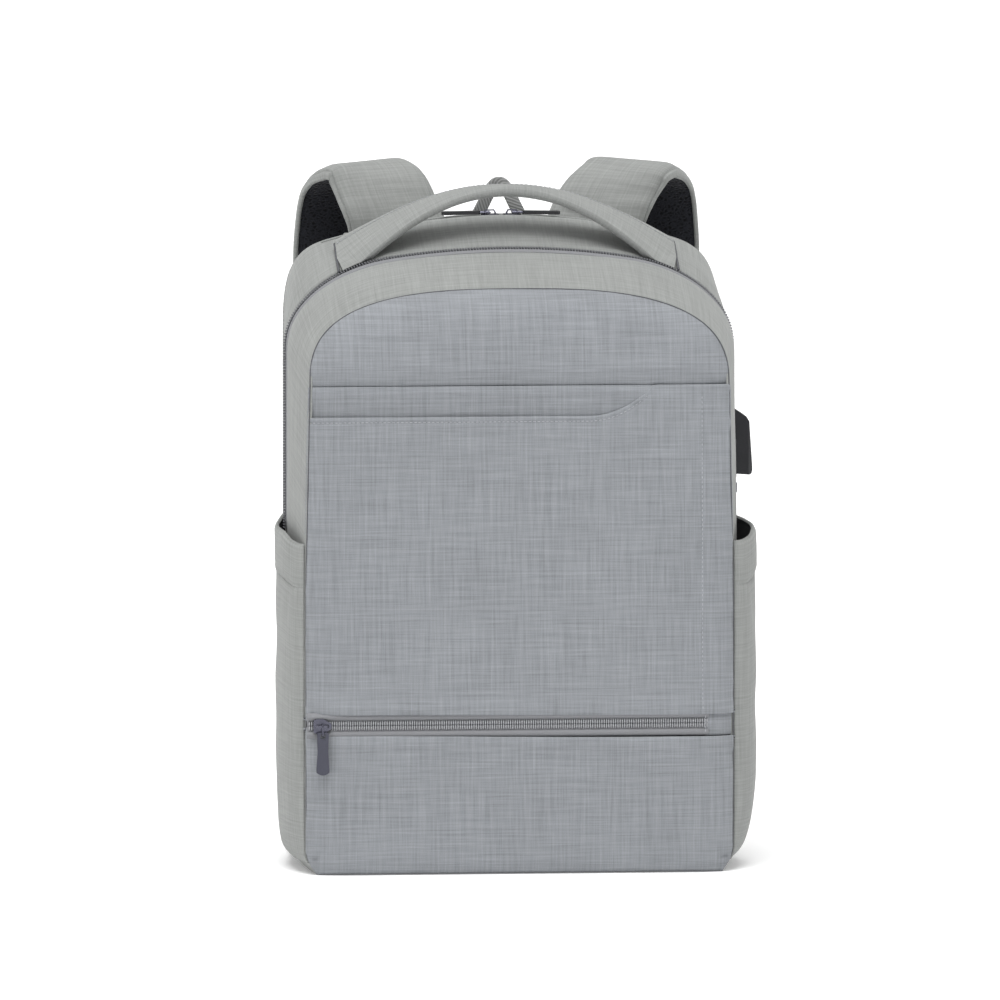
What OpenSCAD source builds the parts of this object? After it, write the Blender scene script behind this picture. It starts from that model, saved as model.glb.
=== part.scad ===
// Laptop backpack with a panel-loading front, an outside charging port and padded shoulder straps.
// Millimetres. +Z is up, -Y is the front, +X is the right of someone facing the front.
// The origin is the centre of the base, on the floor.

/* [Body] */
// half of the width at the main zip
half_w = 157; // [154:1:160]
// half of the width at the back panel
half_w_back = 153; // [151:1:155]
// height of the body at the back
body_h = 450.5; // [448:0.5:454]
// height of the main zip at the middle of its arch
zip_h = 430.7; // [428:0.1:434]
// half of the depth of the base
half_d = 87.5; // [86:0.5:89]
// thickness of the padded walls
wall = 2.5; // [2:0.1:3]

/* [Front] */
// height of the line that the front folds about
fold_z = 235; // [232:1:238]
// height of the folded edge above the slip pocket
ledge_z = 341; // [338:1:344]
// height of the slip pocket's mouth
mouth_z = 320; // [316:1:323]
// top of the front panel at the middle
front_h = 407.3; // [405:0.1:410]
// room inside the slip pocket
slip_gap = 8; // [7:0.5:9]

/* [Zips] */
// height of the lower zip
low_zip_z = 105; // [103:0.5:107]
// parting gap between two rows of coil
zip_gap = 2; // [2:0.1:2.2]
// where the main zip runs, in depth
main_zip_y = 4.5; // [3:0.5:6]
// where the laptop zip runs, in depth
top_zip_y = 66; // [64:0.5:67]

/* [Straps] */
// width of a shoulder strap at its top
strap_w = 68; // [62:1:72]
// thickness of a shoulder strap's foam
strap_t = 8; // [7:0.5:9]

/* [Node] */
// which piece is built

/* [Hidden] */

gap = 0.3;
grey = [0.60, 0.61, 0.62];
light_grey = [0.66, 0.67, 0.66];
dark = [0.2, 0.2, 0.22];
black = [0.06, 0.06, 0.07];
steel = [0.35, 0.34, 0.39];

top_rad = 456;
zip_rad = 560;
seam_half = 147;
seam_low_half = 150;
seam_pow = 2.8;
edge_pow = 20;
top_edge_pow = 9;
seam_y = 9.5 - half_d;
seam_top_y = 38 - half_d;
base_half = 133;
low_r = 9.5;
zip_drop = 2;
tape_t = 0.6;
pad_z = 82;
coil_t = 1.2;
coil_w = 1.4;
tape_w = 6.2;
panel_t = 2;
lining_t = 1.5;
top_slot_half = 104;
low_zip_left = -150;
low_zip_right = 129;
n_arch = 6;
n_corner = 8;
n_side = 5;
n_low = 5;

// ---- plain helpers ----
function lerp(a, b, t) = a + (b - a) * t;
function clip(t) = max(0, min(1, t));
function ramp(v, a, b) = clip((v - a) / (b - a));
function arch(x, crown, rad) = crown - rad + sqrt(rad * rad - x * x);
function both(h) = concat([for (i = [len(h) - 1:-1:1]) [-h[i][0], h[i][1]]], h);
function along(p, i) = p[min(i + 1, len(p) - 1)] - p[max(i - 1, 0)];
function shrink(p, t) = [for (i = [0:len(p) - 1])
    let (d = along(p, i)) p[i] - t * [-d[1], d[0]] / norm(d)];
function at_y(p, y) = [for (q = p) [q[0], y, q[1]]];
function unit(v) = v / norm(v);

// a closed solid between two grids of points of the same size
module sheet(o, n) {
    rows = len(o);
    cols = len(o[0]);
    m = rows * cols;
    r = floor((rows - 1) / 2);
    c = floor((cols - 1) / 2);
    right = cross(o[r + 1][c] - o[r][c], o[r][c + 1] - o[r][c]) * (o[r][c] - n[r][c]) > 0;
    quads = concat(
        [for (i = [0:rows - 2]) for (j = [0:cols - 2])
            [i * cols + j, i * cols + j + 1, (i + 1) * cols + j + 1, (i + 1) * cols + j]],
        [for (i = [0:rows - 2]) for (j = [0:cols - 2])
            [m + i * cols + j, m + (i + 1) * cols + j, m + (i + 1) * cols + j + 1, m + i * cols + j + 1]],
        [for (j = [0:cols - 2]) [j + 1, j, m + j, m + j + 1]],
        [for (j = [0:cols - 2]) let (e = (rows - 1) * cols + j) [e, e + 1, m + e + 1, m + e]],
        [for (i = [0:rows - 2]) let (e = i * cols) [e, e + cols, m + e + cols, m + e]],
        [for (i = [0:rows - 2]) let (e = i * cols + cols - 1) [e + cols, e, m + e, m + e + cols]]);
    faces = [for (q = quads) for (t = [[q[0], q[1], q[2]], [q[0], q[2], q[3]]])
        right ? t : [t[2], t[1], t[0]]];
    points = concat([for (row = o) for (p = row) p], [for (row = n) for (p = row) p]);
    polyhedron(points, faces);
}

// ---- the body's outline, seen from the front, at a depth y behind the main zip ----
function back_t(y) = ramp(y, main_zip_y, top_zip_y - 7);
function rim_t(y) = ramp(y, 76, half_d - 3.5);
function hw_at(y) = lerp(half_w, half_w_back, back_t(y)) - 1.5 * rim_t(y);
function crown_at(y) = lerp(zip_h, body_h, back_t(y)) - 3 * rim_t(y);
function rad_at(y) = lerp(zip_rad, top_rad, back_t(y));
function half_outline(y, low) = let (
        hw = hw_at(y),
        crown = crown_at(y),
        rad = rad_at(y),
        xa = lerp(80, 110, back_t(y)),
        zb = lerp(359.4, 350, back_t(y)),
        e = 2 / lerp(2.5, 4.4, back_t(y)),
        rb = hw - base_half)
    concat(
        [for (i = [0:n_arch]) let (x = xa * i / n_arch) [x, arch(x, crown, rad)]],
        [for (i = [1:n_corner]) let (a = 90 * i / n_corner, x = xa + (hw - xa) * pow(sin(a), e))
            [x, zb + (arch(x, crown, rad) - zb) * pow(max(0, cos(a)), e)]],
        [for (i = [1:n_side]) [hw, lerp(zb, max(rb, low), i / n_side)]],
        low > rb ? [] : [for (i = [1:n_low]) let (a = 90 * i / n_low)
            [hw - rb + rb * cos(a), rb - rb * sin(a)]]);
function outline(y, low) = both(half_outline(y, low));

// ---- the front panel: its seam and its surface ----
function seam_x(z) = z > ledge_z ? seam_half
    : lerp(seam_low_half, seam_half, ramp(z, 200, ledge_z)) - 8 * pow(1 - ramp(z, 0, 18), 2);
function seam_z(x) = ledge_z
    + (front_h - ledge_z) * pow(max(0, 1 - pow(abs(x) / seam_half, seam_pow)), 1 / seam_pow);
function rise(z) = clip((z - ledge_z) / (front_h - ledge_z));
function seam_depth(z) = lerp(seam_y, seam_top_y, pow(rise(z), 1.5));
function low_round(z) = z > low_r ? 0 : low_r - sqrt(low_r * low_r - (low_r - z) * (low_r - z));
function face_mid(z) = z > ledge_z
    ? seam_top_y - (half_d - 8 + seam_top_y) * pow(max(0, 1 - pow(rise(z), 2.2)), 1 / 2.2)
    : low_round(z) - half_d + 3.5 * ramp(z, 110, fold_z) + 4.5 * ramp(z, fold_z, ledge_z);
function edge_q(x, z) = z > ledge_z
    ? pow(pow(abs(x) / seam_half, seam_pow) + pow(rise(z), seam_pow), 1 / seam_pow)
    : abs(x) / seam_x(z);
function face(x, z) = lerp(face_mid(z), max(seam_depth(z), face_mid(z)),
    pow(min(1, edge_q(x, z)), lerp(edge_pow, top_edge_pow, rise(z))));

// across positions, closer together near the edges
function spread(n) = [for (i = [0:n]) sin(90 * (2 * i / n - 1))];

// the front panel between two heights, moved inwards by d
function front_grid(us, zs, d, half) = [for (z = zs) [for (u = us)
    let (x = u * min(half, seam_x(z))) [x, face(x, z) + d, z]]];
module front_strip(zs, d, t, half) {
    us = spread(18);
    sheet(front_grid(us, zs, d, half), front_grid(us, zs, d + t, half));
}

// the seam point that belongs to a point of the main zip's outline
function seam_point(p, low) = let (
        zb = 359.4,
        x = p[0] * seam_half / half_w)
    p[1] >= zb - 0.01 ? [x, seam_z(x)]
        : let (z = low + (p[1] - low) * (ledge_z - low) / (zb - low)) [sign(p[0]) * seam_x(z), z];
function gusset_row(k, low, t) = let (
        p = outline(main_zip_y, low),
        s = [for (q = p) seam_point(q, low)],
        ps = shrink(p, t),
        ss = shrink(s, t),
        b = 2.5 * sin(180 * k))
    [for (i = [0:len(p) - 1]) let (
            y0 = main_zip_y - zip_gap / 2 - tape_w - gap,
            y1 = seam_depth(s[i][1]) + panel_t + gap,
            d = along(p, i))
        [lerp(ps[i][0], ss[i][0], k) - b * d[1] / norm(d), lerp(y0, y1, k),
            lerp(ps[i][1], ss[i][1], k) + b * d[0] / norm(d)]];

// ================= fixed body =================

module back_panel() {
    p = shrink(outline(half_d - 3.5, 0), 1);
    color(grey)
        translate([0, half_d, 0])
        rotate([90, 0, 0])
        linear_extrude(3.2)
        polygon(p);
}

module back_pad(side) {
    color(black)
        translate([side * 70, half_d + gap, pad_z])
        rotate([-90, 0, 0])
        mirror([0, 1, 0])
        linear_extrude(11)
        rounded(98, 401 - pad_z, 26);
}

// a rectangle with round corners, centred in x and standing on y = 0
module rounded(w, h, r) {
    union() {
        translate([-w / 2 + r, 0])
            square([w - 2 * r, h]);
        translate([-w / 2, r])
            square([w, h - 2 * r]);
        for (x = [-w / 2 + r, w / 2 - r])
            for (y = [r, h - r])
                translate([x, y])
                    circle(r = r, $fn = 48);
    }
}

module base_panel() {
    y0 = low_round(0) - half_d + gap;
    color(grey)
        translate([gap - base_half, y0, 0])
        cube([2 * (base_half - gap), half_d - 3.5 - y0, wall]);
}

module rear_gusset() {
    ys = [main_zip_y + zip_gap / 2 + tape_w + gap, 35, top_zip_y - 7, top_zip_y + 7, 80, half_d - 3.5];
    color(light_grey)
        difference() {
            sheet([for (y = ys) at_y(outline(y, 0), y)],
                [for (y = ys) at_y(shrink(outline(y, 0), wall), y)]);
            translate([-top_slot_half, top_zip_y - 7, 400])
                cube([2 * top_slot_half, 14, 80]);
            translate([120, 27, 290])
                rotate([0, 90, 0])
                cylinder(r = 2.2, h = 60, $fn = 48);
        }
}

module side_panel(side) {
    half = [for (p = half_outline(main_zip_y, 0)) if (p[1] < fold_z - gap) p];
    path = concat([[half_w, fold_z - gap]], half);
    inner = shrink(path, wall);
    ks = [0, 0.25, 0.5, 0.75, 1];
    y0 = main_zip_y + zip_gap / 2 + tape_w;
    y1 = seam_y + panel_t + gap;
    color(grey)
        mirror([side < 0 ? 1 : 0, 0, 0])
        sheet([for (k = ks) side_row(path, k, y0, y1)], [for (k = ks) side_row(inner, k, y0, y1)]);
}
function side_in(k) = (half_w - seam_low_half) * k - 2.5 * sin(180 * k);
function side_row(path, k, y0, y1) = [for (p = path)
    [p[0] - side_in(k) * ramp(p[0], base_half, half_w - 4), lerp(y0, y1, k), p[1]]];

module lower_pocket_panel() {
    zs = [0, 0.8, 2.2, 4.5, low_r, 40, 70, low_zip_z - 6];
    us = spread(18);
    outer = front_grid(us, zs, 0, 200);
    inner = [for (i = [0:len(zs) - 1])
        let (up = 1 - min(1, zs[i] / low_r), back = sqrt(1 - up * up))
        [for (p = outer[i]) p + panel_t * [0, back, up]]];
    color(grey)
        sheet(outer, inner);
}

module pocket_lining() {
    zs = [27, 60, low_zip_z, 160, fold_z - gap];
    us = spread(18);
    d = slip_gap + panel_t;
    color(dark)
        sheet([for (z = zs) [for (u = us) [u * 143, face(u * 143, z) + d, z]]],
            [for (z = zs) [for (u = us) [u * 143, face(u * 143, z) + d + lining_t, z]]]);
}

module pocket_panel_lower() {
    color(grey)
        front_strip([low_zip_z + 7, 140, 180, fold_z - gap], 0, panel_t, 200);
}

module slip_pocket_floor() {
    color(dark)
        translate([-120, -half_d + panel_t + gap, low_zip_z + 7])
        cube([240, slip_gap - 2 * gap, lining_t]);
}

module laptop_divider() {
    y = top_zip_y - 14;
    p = shrink(outline(y, 0), wall + 1);
    color(dark)
        translate([0, y + 5, 0])
        rotate([90, 0, 0])
        linear_extrude(5)
        intersection() {
            polygon(p);
            translate([-200, wall + gap])
                square([400, 500]);
        }
}

// one side of a zip that follows the main outline; s is -1 in front of the gap and +1 behind it
module arched_tape(s, low) {
    steps = [[zip_gap / 2, coil_t], [zip_gap / 2 + coil_w, coil_t], [zip_gap / 2 + coil_w + 0.1, tape_t],
        [zip_gap / 2 + tape_w, tape_t]];
    p = outline(main_zip_y, low);
    color(dark)
        sheet([for (q = steps) at_y(shrink(p, zip_drop - q[1]), main_zip_y + s * q[0])],
            [for (q = steps) at_y(shrink(p, zip_drop + q[1]), main_zip_y + s * q[0])]);
}

module main_zip_rear_tape() {
    arched_tape(1, fold_z);
}

// a band that follows the arch at the top of the back
module arc_band(r, t, y0, y1, half) {
    translate([0, y1, body_h - top_rad])
        rotate([90, 0, 0])
        linear_extrude(y1 - y0)
        intersection() {
            difference() {
                circle(r = r + t, $fn = 360);
                circle(r = r - t, $fn = 360);
            }
            translate([-half, 0])
                square([2 * half, 2 * top_rad]);
        }
}

module top_tape(s) {
    a = top_zip_y + s * zip_gap / 2;
    b = top_zip_y + s * (zip_gap / 2 + coil_w);
    c = top_zip_y + s * (7 - gap);
    color(dark)
        union() {
            arc_band(top_rad - zip_drop, coil_t, min(a, b), max(a, b), top_slot_half - gap);
            arc_band(top_rad - zip_drop, tape_t, min(a, c), max(a, c), top_slot_half - gap);
        }
}

module lower_tape(s) {
    y = -half_d + zip_drop;
    z0 = zip_gap / 2;
    color(dark)
        translate([low_zip_left + 4, y, low_zip_z])
        mirror([0, 0, s < 0 ? 1 : 0])
        union() {
            translate([0, -tape_t, z0])
                cube([low_zip_right - low_zip_left - 4, 2 * tape_t, 5.7 - z0]);
            translate([0, -coil_t, z0])
                cube([low_zip_right - low_zip_left - 4, 2 * coil_t, coil_w]);
        }
}

module lower_zip_end_tab() {
    color(grey)
        translate([low_zip_right + gap, -half_d + 0.6, low_zip_z - 5.7])
        rotate([0, 0, 9])
        cube([17, 1.6, 11.4]);
}

// side pocket: bulge over the side panel; v runs up, u runs from front to back
pocket_y0 = -60;
pocket_y1 = 60;
pocket_z0 = 27;
pocket_room = 8;
function mouth_at(y) = lerp(228, 242, ramp(y, pocket_y0, pocket_y1));
function side_x(y) = y > main_zip_y ? hw_at(y)
    : half_w - side_in(ramp(-y, -main_zip_y, -seam_y));
function pocket_x(u, v) = let (y = lerp(pocket_y0, pocket_y1, u))
    side_x(y) + 0.6
        + pocket_room * pow(1 - pow(abs(2 * u - 1), 4), 0.5) * pow(1 - pow(1 - ramp(v, 0, 0.3), 2), 0.5);
module pocket_sheet(v0, v1, t, side) {
    vs = [for (i = [0:4]) lerp(v0, v1, pow(i / 4, 1.3))];
    us = [for (i = [0:14]) (1 + sin(90 * (2 * i / 14 - 1))) / 2];
    inner = [for (v = vs) [for (u = us) let (y = lerp(pocket_y0, pocket_y1, u))
        [pocket_x(u, v), y, lerp(pocket_z0, mouth_at(y), v)]]];
    outer = [for (row = inner) [for (p = row) p + [t, 0, 0]]];
    mirror([side < 0 ? 1 : 0, 0, 0])
        sheet(outer, inner);
}
module side_pocket(side) {
    color(grey)
        pocket_sheet(0, 0.865, panel_t, side);
}
module pocket_hem(side) {
    color(grey)
        pocket_sheet(0.867, 1, panel_t + 0.6, side);
}

// ---- charging port on the right side; the socket opens downwards ----
usb_y = 27;
usb_z0 = 270;
usb_z1 = 316;
usb_x0 = 157.2;
usb_x1 = 173;
usb_w = 28;
socket_x = 164.2;
module usb_outline() {
    polygon([[usb_x0, usb_z0 + 1], [usb_x0, usb_z1], [usb_x0 + 3, usb_z1 + 0.5],
        [usb_x1 - 4.5, usb_z1 - 5], [usb_x1 - 2.4, usb_z1 - 8.5], [usb_x1, usb_z0 + 4],
        [usb_x1 - 0.6, usb_z0 + 1], [usb_x1 - 2, usb_z0]]);
}
module usb_housing() {
    color(black)
        difference() {
            intersection() {
                translate([0, usb_y + usb_w / 2, 0])
                    rotate([90, 0, 0])
                    linear_extrude(usb_w)
                    usb_outline();
                translate([0, usb_y, 0])
                    linear_extrude(400)
                    polygon([[usb_x0, -usb_w / 2], [usb_x1 - 3, -usb_w / 2], [usb_x1, 3 - usb_w / 2],
                        [usb_x1, usb_w / 2 - 3], [usb_x1 - 3, usb_w / 2], [usb_x0, usb_w / 2]]);
            }
            translate([socket_x - 3.05, usb_y - 6.75, usb_z0 - 1])
                cube([6.1, 13.5, 16]);
            translate([usb_x0 - 1, usb_y, 290])
                rotate([0, 90, 0])
                cylinder(r = 1.8, h = 5, $fn = 48);
            translate([usb_x1 - 2.2, usb_y - 8, usb_z0 + 12])
                rotate([0, -4, 0])
                cube([0.5, 16, 0.8]);
        }
}
module usb_socket_shell() {
    color(steel)
        difference() {
            translate([socket_x - 2.85, usb_y - 6.55, usb_z0 + 0.6])
                cube([5.7, 13.1, 14]);
            translate([socket_x - 2.55, usb_y - 6.25, usb_z0])
                cube([5.1, 12.5, 14.2]);
        }
}
module usb_tongue() {
    color([0.85, 0.85, 0.87])
        translate([socket_x - 2.3, usb_y - 5.55, usb_z0 + 2])
        cube([1.84, 11.1, 12]);
}
module usb_lead_gland() {
    color(black)
        translate([148.4, usb_y, 290])
        rotate([0, 90, 0])
        difference() {
            cylinder(r = 6, h = 3, $fn = 72);
            translate([0, 0, -1])
                cylinder(r = 1.8, h = 8, $fn = 72);
        }
}

// ---- hanging loop at the top of the back ----
module hang_loop() {
    w = 6.5;
    color(light_grey)
        translate([0, 83, 0])
        rotate([90, 0, 0])
        linear_extrude(2.4)
        difference() {
            union() {
                translate([0, 466.5])
                    circle(r = w, $fn = 48);
                polygon([[-w, 466.5], [-17, 449.6], [17, 449.6], [w, 466.5]]);
            }
            translate([0, 464.5])
                circle(r = 3.2, $fn = 48);
            polygon([[-3.2, 464.5], [-10.5, 453.4], [10.5, 453.4], [3.2, 464.5]]);
        }
}

// ---- carrying handle ----
handle_y = 28;
handle_low = 421;
handle_crest = 470.6;
handle_half = 119;
handle_t = 6.5;
// height of the top at a point behind the main zip
function top_z(x, y) = let (
        xa = lerp(80, 110, back_t(y)),
        zb = lerp(359.4, 350, back_t(y)),
        e = 2 / lerp(2.5, 4.4, back_t(y)),
        s = pow(max(0, (x - xa) / (hw_at(y) - xa)), 1 / e))
    zb + (arch(x, crown_at(y), rad_at(y)) - zb) * pow(1 - s * s, e / 2);
function handle_z(x) = handle_low
    + (handle_crest - handle_low) * pow(max(0, 1 - pow(x / handle_half, 2)), 1.1);
function handle_half_w(x) = 13 + 3.5 * pow(abs(x) / handle_half, 2);
function handle_tilt(x) = 26 * pow(abs(x) / 106, 1.3);
module handle_end(side) {
    xs = [98, 103, 108, 114, 120];
    ks = [-1, -0.5, 0, 0.5, 1];
    color(light_grey)
        mirror([side < 0 ? 1 : 0, 0, 0])
        sheet([for (x = xs) end_row(x, ks, lerp(5.5, 3, ramp(x, 98, 110)))],
            [for (x = xs) end_row(x, ks, 0.5)]);
}
function end_row(x, ks, lift) = [for (k = ks) let (y = handle_y + k * 14.5) [x, y, top_z(x, y) + lift]];
module handle_grip() {
    xs = [for (i = [-12:12]) 92 * sin(90 * i / 12)];
    ks = [-1, -0.85, 0, 0.85, 1];
    color(light_grey)
        sheet([for (x = xs) handle_row(x, ks, 1)], [for (x = xs) handle_row(x, ks, -1)]);
}
function handle_row(x, ks, s) = let (
        d = unit([1, (handle_z(x + 0.5) - handle_z(x - 0.5))]),
        tilt = handle_tilt(x))
    [for (k = ks) let (
            v = s * handle_t / 2 * (1 - pow(abs(k), 3) * 0.6),
            a = k * handle_half_w(x),
            up = v * cos(tilt) + a * sin(tilt))
        [x - d[1] * up, handle_y + a * cos(tilt) - v * sin(tilt), handle_z(x) + d[0] * up]];

// ================= folding front =================

module flap_gusset() {
    ks = [0, 0.25, 0.5, 0.75, 1];
    color(light_grey)
        sheet([for (k = ks) gusset_row(k, fold_z + gap, 0)],
            [for (k = ks) gusset_row(k, fold_z + gap, wall)]);
}

module upper_front_panel() {
    us = spread(24);
    vs = [0, 0.3, 0.55, 0.75, 0.88, 0.96, 1];
    t = 0.995;
    outer = [for (v = vs) [for (u = us)
        let (x = u * seam_half * t, z = lerp(ledge_z + gap, seam_z(x) - 0.05, v)) [x, face(x, z), z]]];
    inner = [for (row = outer) [for (p = row) p + panel_t * [0, 1, -0.9 * rise(p[2])]]];
    color(grey)
        sheet(outer, inner);
}

// the slip pocket's mouth rises to the ledge at its right end
function mouth_top(x) = lerp(mouth_z, ledge_z - gap, pow(ramp(x, 48, 93), 2.1));
module pocket_panel_upper() {
    us = spread(18);
    vs = [0, 0.3, 0.6, 0.85, 1];
    outer = [for (v = vs) [for (u = us)
        let (x = u * 146.9, z = lerp(fold_z + gap, mouth_top(x), v)) [x, face(x, z), z]]];
    inner = [for (row = outer) [for (p = row) p + [0, panel_t, 0]]];
    color(grey)
        sheet(outer, inner);
}
module pocket_facing() {
    us = spread(18);
    zs = [fold_z + gap, 280, mouth_z + 1, 333, ledge_z - gap];
    ds = [0, 0, 0, slip_gap - 1.3, slip_gap - 0.4];
    outer = [for (i = [0:4]) [for (u = us)
        [u * 143, face(u * 143, zs[i]) + slip_gap + panel_t - ds[i] + gap, zs[i]]]];
    inner = [for (row = outer) [for (p = row) p + [0, lining_t, 0]]];
    color(grey)
        sheet(outer, inner);
}

module main_zip_front_tape() {
    arched_tape(-1, fold_z + gap);
}

// ================= zip sliders =================
// local axes: the zip runs along x, outwards is z, and the tapes lie on z = 0

plate_l = 12.5;
plate_w = 10;
plate_t = 1.1;
plate_z = 1.7;
bridge_z = 5;
bridge_t = 0.9;
bridge_w = 1.8;
wire_r = 0.7;
pivot_z = 3.9;

module plate_shape() {
    union() {
        translate([-plate_l / 2, -plate_w / 2 + 1.2])
            square([plate_l - 3, plate_w - 2.4]);
        polygon([[-plate_l / 2 + 1.2, -plate_w / 2], [1, -plate_w / 2], [plate_l / 2, -1.8],
            [plate_l / 2, 1.8], [1, plate_w / 2],
            [-plate_l / 2 + 1.2, plate_w / 2], [-plate_l / 2, plate_w / 2 - 1.2],
            [-plate_l / 2, 1.2 - plate_w / 2]]);
    }
}
module bridge() {
    foot = plate_z + plate_t;
    translate([0, bridge_w / 2, 0])
        rotate([90, 0, 0])
        linear_extrude(bridge_w)
        difference() {
            polygon([[-4.6, foot - 0.5], [-4.6, 3.6],
                [-3.2, bridge_z + bridge_t], [3.2, bridge_z + bridge_t],
                [4.6, 3.6], [4.6, foot - 0.5]]);
            polygon([[-3.3, foot], [-3.3, 3.7], [-2.6, bridge_z],
                [2.6, bridge_z], [3.3, 3.7], [3.3, foot]]);
        }
}
module slider() {
    color(steel)
        union() {
            translate([0, 0, plate_z])
                linear_extrude(plate_t)
                plate_shape();
            translate([0, 0, -plate_z - plate_t])
                linear_extrude(plate_t)
                plate_shape();
            translate([plate_l / 2 - 3.4, -0.65, -plate_z - 0.5])
                cube([2.6, 1.3, 2 * plate_z + 1]);
            bridge();
        }
}
// a wire loop through the bridge, leading away along x
loop_half = 2.6;
loop_l = 9;
module loop_wire(r) {
    union() {
        for (x = [0, loop_l])
            translate([x, -loop_half, pivot_z])
                rotate([-90, 0, 0])
                cylinder(r = r, h = 2 * loop_half, $fn = 32);
        for (y = [-loop_half, loop_half])
            translate([0, y, pivot_z])
                rotate([0, 90, 0])
                cylinder(r = r, h = loop_l, $fn = 32);
        for (x = [0, loop_l])
            for (y = [-loop_half, loop_half])
                translate([x, y, pivot_z])
                    sphere(r = r, $fn = 32);
    }
}
module pull_loop() {
    color(steel)
        loop_wire(wire_r);
}
tab_w = 9;
tab_l = 27;
module tab_shape(l) {
    union() {
        polygon([[0, 1 - tab_w * 0.46], [1, -tab_w * 0.46], [l * 0.45, -tab_w * 0.41], [l - 4, -tab_w / 2],
            [l - 4, tab_w / 2], [l * 0.45, tab_w * 0.41], [1, tab_w * 0.46], [0, tab_w * 0.46 - 1]]);
        intersection() {
            translate([l - tab_w / 2 - 1.5, 0])
                circle(r = tab_w / 2 + 1.5, $fn = 64);
            translate([l - 4, -tab_w / 2])
                square([6, tab_w]);
        }
    }
}
module pull_tab() {
    color(steel)
        difference() {
            translate([loop_l - 2, 0, pivot_z - 1.2])
                linear_extrude(2.4)
                tab_shape(tab_l);
            loop_wire(wire_r + 0.06);
        }
}

// the lower slider's ring stands across the zip, so its tab can hang down
ring_l = 5.4;
ring_gap = 1.7;
ring_wire = 0.5;
module ring_wire_path(r) {
    union() {
        for (y = [-ring_gap, ring_gap])
            translate([0, y, -ring_l])
                cylinder(r = r, h = ring_l, $fn = 32);
        for (s = [0, 1])
            translate([0, 0, s == 0 ? 0 : -ring_l])
                mirror([0, 0, s])
                rotate([90, 0, 90])
                rotate_extrude(angle = 180, $fn = 48)
                translate([ring_gap, 0])
                circle(r = r, $fn = 32);
    }
}
low_x = -139;
low_y = -half_d + zip_drop;
low_pivot = [low_x, low_y - bridge_z - bridge_t / 2, low_zip_z];
module at_low_slider() {
    translate([low_x, low_y, low_zip_z])
        rotate([90, 0, 0])
        children();
}
module lower_slider() {
    at_low_slider()
        slider();
}
module lower_pull_ring() {
    color(steel)
        translate(low_pivot)
        ring_wire_path(ring_wire);
}
module lower_pull_tab() {
    z0 = low_pivot[2] - ring_l + 1.4;
    color(steel)
        difference() {
            translate([low_x, low_pivot[1] + 1.1, z0])
                rotate([90, 0, 0])
                linear_extrude(2.2)
                rotate(-90)
                tab_shape(tab_l + 3);
            translate([low_x - 1.6, low_pivot[1] - 3, z0 - 4.4])
                cube([3.2, 6, 3]);
        }
}

// the two laptop sliders meet at the middle of the arch
top_angle = 1;
module at_top_slider(side) {
    translate([0, top_zip_y, body_h - top_rad])
        rotate([0, side * top_angle, 0])
        translate([0, 0, top_rad - zip_drop])
        rotate([0, 0, side > 0 ? 0 : 180])
        children();
}
// the main slider rests at the right, its tab folded up along the zip
module at_main_slider() {
    translate([half_w - zip_drop, main_zip_y, 262])
        rotate([0, 90, 0])
        rotate([0, 0, 180])
        children();
}

// ================= shoulder straps =================

anchor_y = half_d + gap;
strap_path = [[70, 98, 440, 1], [73, 101, 450, 1], [77, 105, 459, 1], [81, 109, 467, 1],
    [85.5, 114, 474, 1], [90, 120, 478.5, 1], [94, 127, 480, 1], [97, 134, 478, 1],
    [99, 140, 472, 1], [101, 145, 462, 1], [103, 149, 446, 1], [104.5, 152, 420, 1],
    [105, 153.5, 385, 0.98], [105, 153, 340, 0.94], [104.5, 149, 290, 0.88],
    [103.5, 143, 240, 0.82], [102, 135, 195, 0.76], [101, 126.5, 150, 0.72]];
function spot(i) = let (p = strap_path[i]) [p[0], p[1], p[2]];
function heading(i) = unit(spot(min(i + 1, len(strap_path) - 1)) - spot(max(i - 1, 0)));
function sideways(i) = unit(cross(heading(i), cross([1, 0, 0], heading(i))));
function out_of(i) = cross(heading(i), sideways(i));
function strap_row(i, d) = [for (k = [-1, -0.9, 0, 0.9, 1])
    spot(i) + sideways(i) * k * strap_w * strap_path[i][3] / 2
        - out_of(i) * (d > 0 ? d - 0.45 * d * pow(abs(k), 12) : d)];
module strap_layer(side, d0, d1) {
    mirror([side < 0 ? 1 : 0, 0, 0])
        sheet([for (i = [0:len(strap_path) - 1]) strap_row(i, d1)],
            [for (i = [0:len(strap_path) - 1]) strap_row(i, d0)]);
}
module strap_pad(side) {
    color(grey)
        strap_layer(side, -3, strap_t - 3);
}
module strap_mesh(side) {
    color(black)
        strap_layer(side, -5, -3.2);
}
module strap_anchor(side) {
    color(grey)
        translate([side * 73 - 36, half_d + gap, 404])
        cube([72, 2.6, 33]);
}
module ladder_lock(side) {
    color(black)
        translate([side * 101, 124.5, 136.5])
        rotate([-11, 0, 0])
        translate([-16, -2, -12])
        difference() {
            cube([32, 4, 24]);
            translate([3, -1, 3])
                cube([26, 6, 4]);
            translate([3, -1, 9.5])
                cube([26, 6, 3.5]);
            translate([3, -1, 16])
                cube([26, 6, 4.5]);
        }
}
module strap_tail(side) {
    color(grey)
        translate([side * 101 - 12.5, 124.8, 62])
        cube([25, 1.5, 62]);
}
module lower_webbing(side) {
    y = half_d + gap;
    color(grey)
        translate([side * 101, 0, 0])
        rotate([90, 0, 90])
        translate([0, 0, -12.5])
        linear_extrude(25)
        polygon([[y, 30], [y, 52], [y + 2.4, 52], [121.2, 123.3],
            [122.6, 122.9], [91.8, 51], [y + 2.4, 30]]);
}

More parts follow.
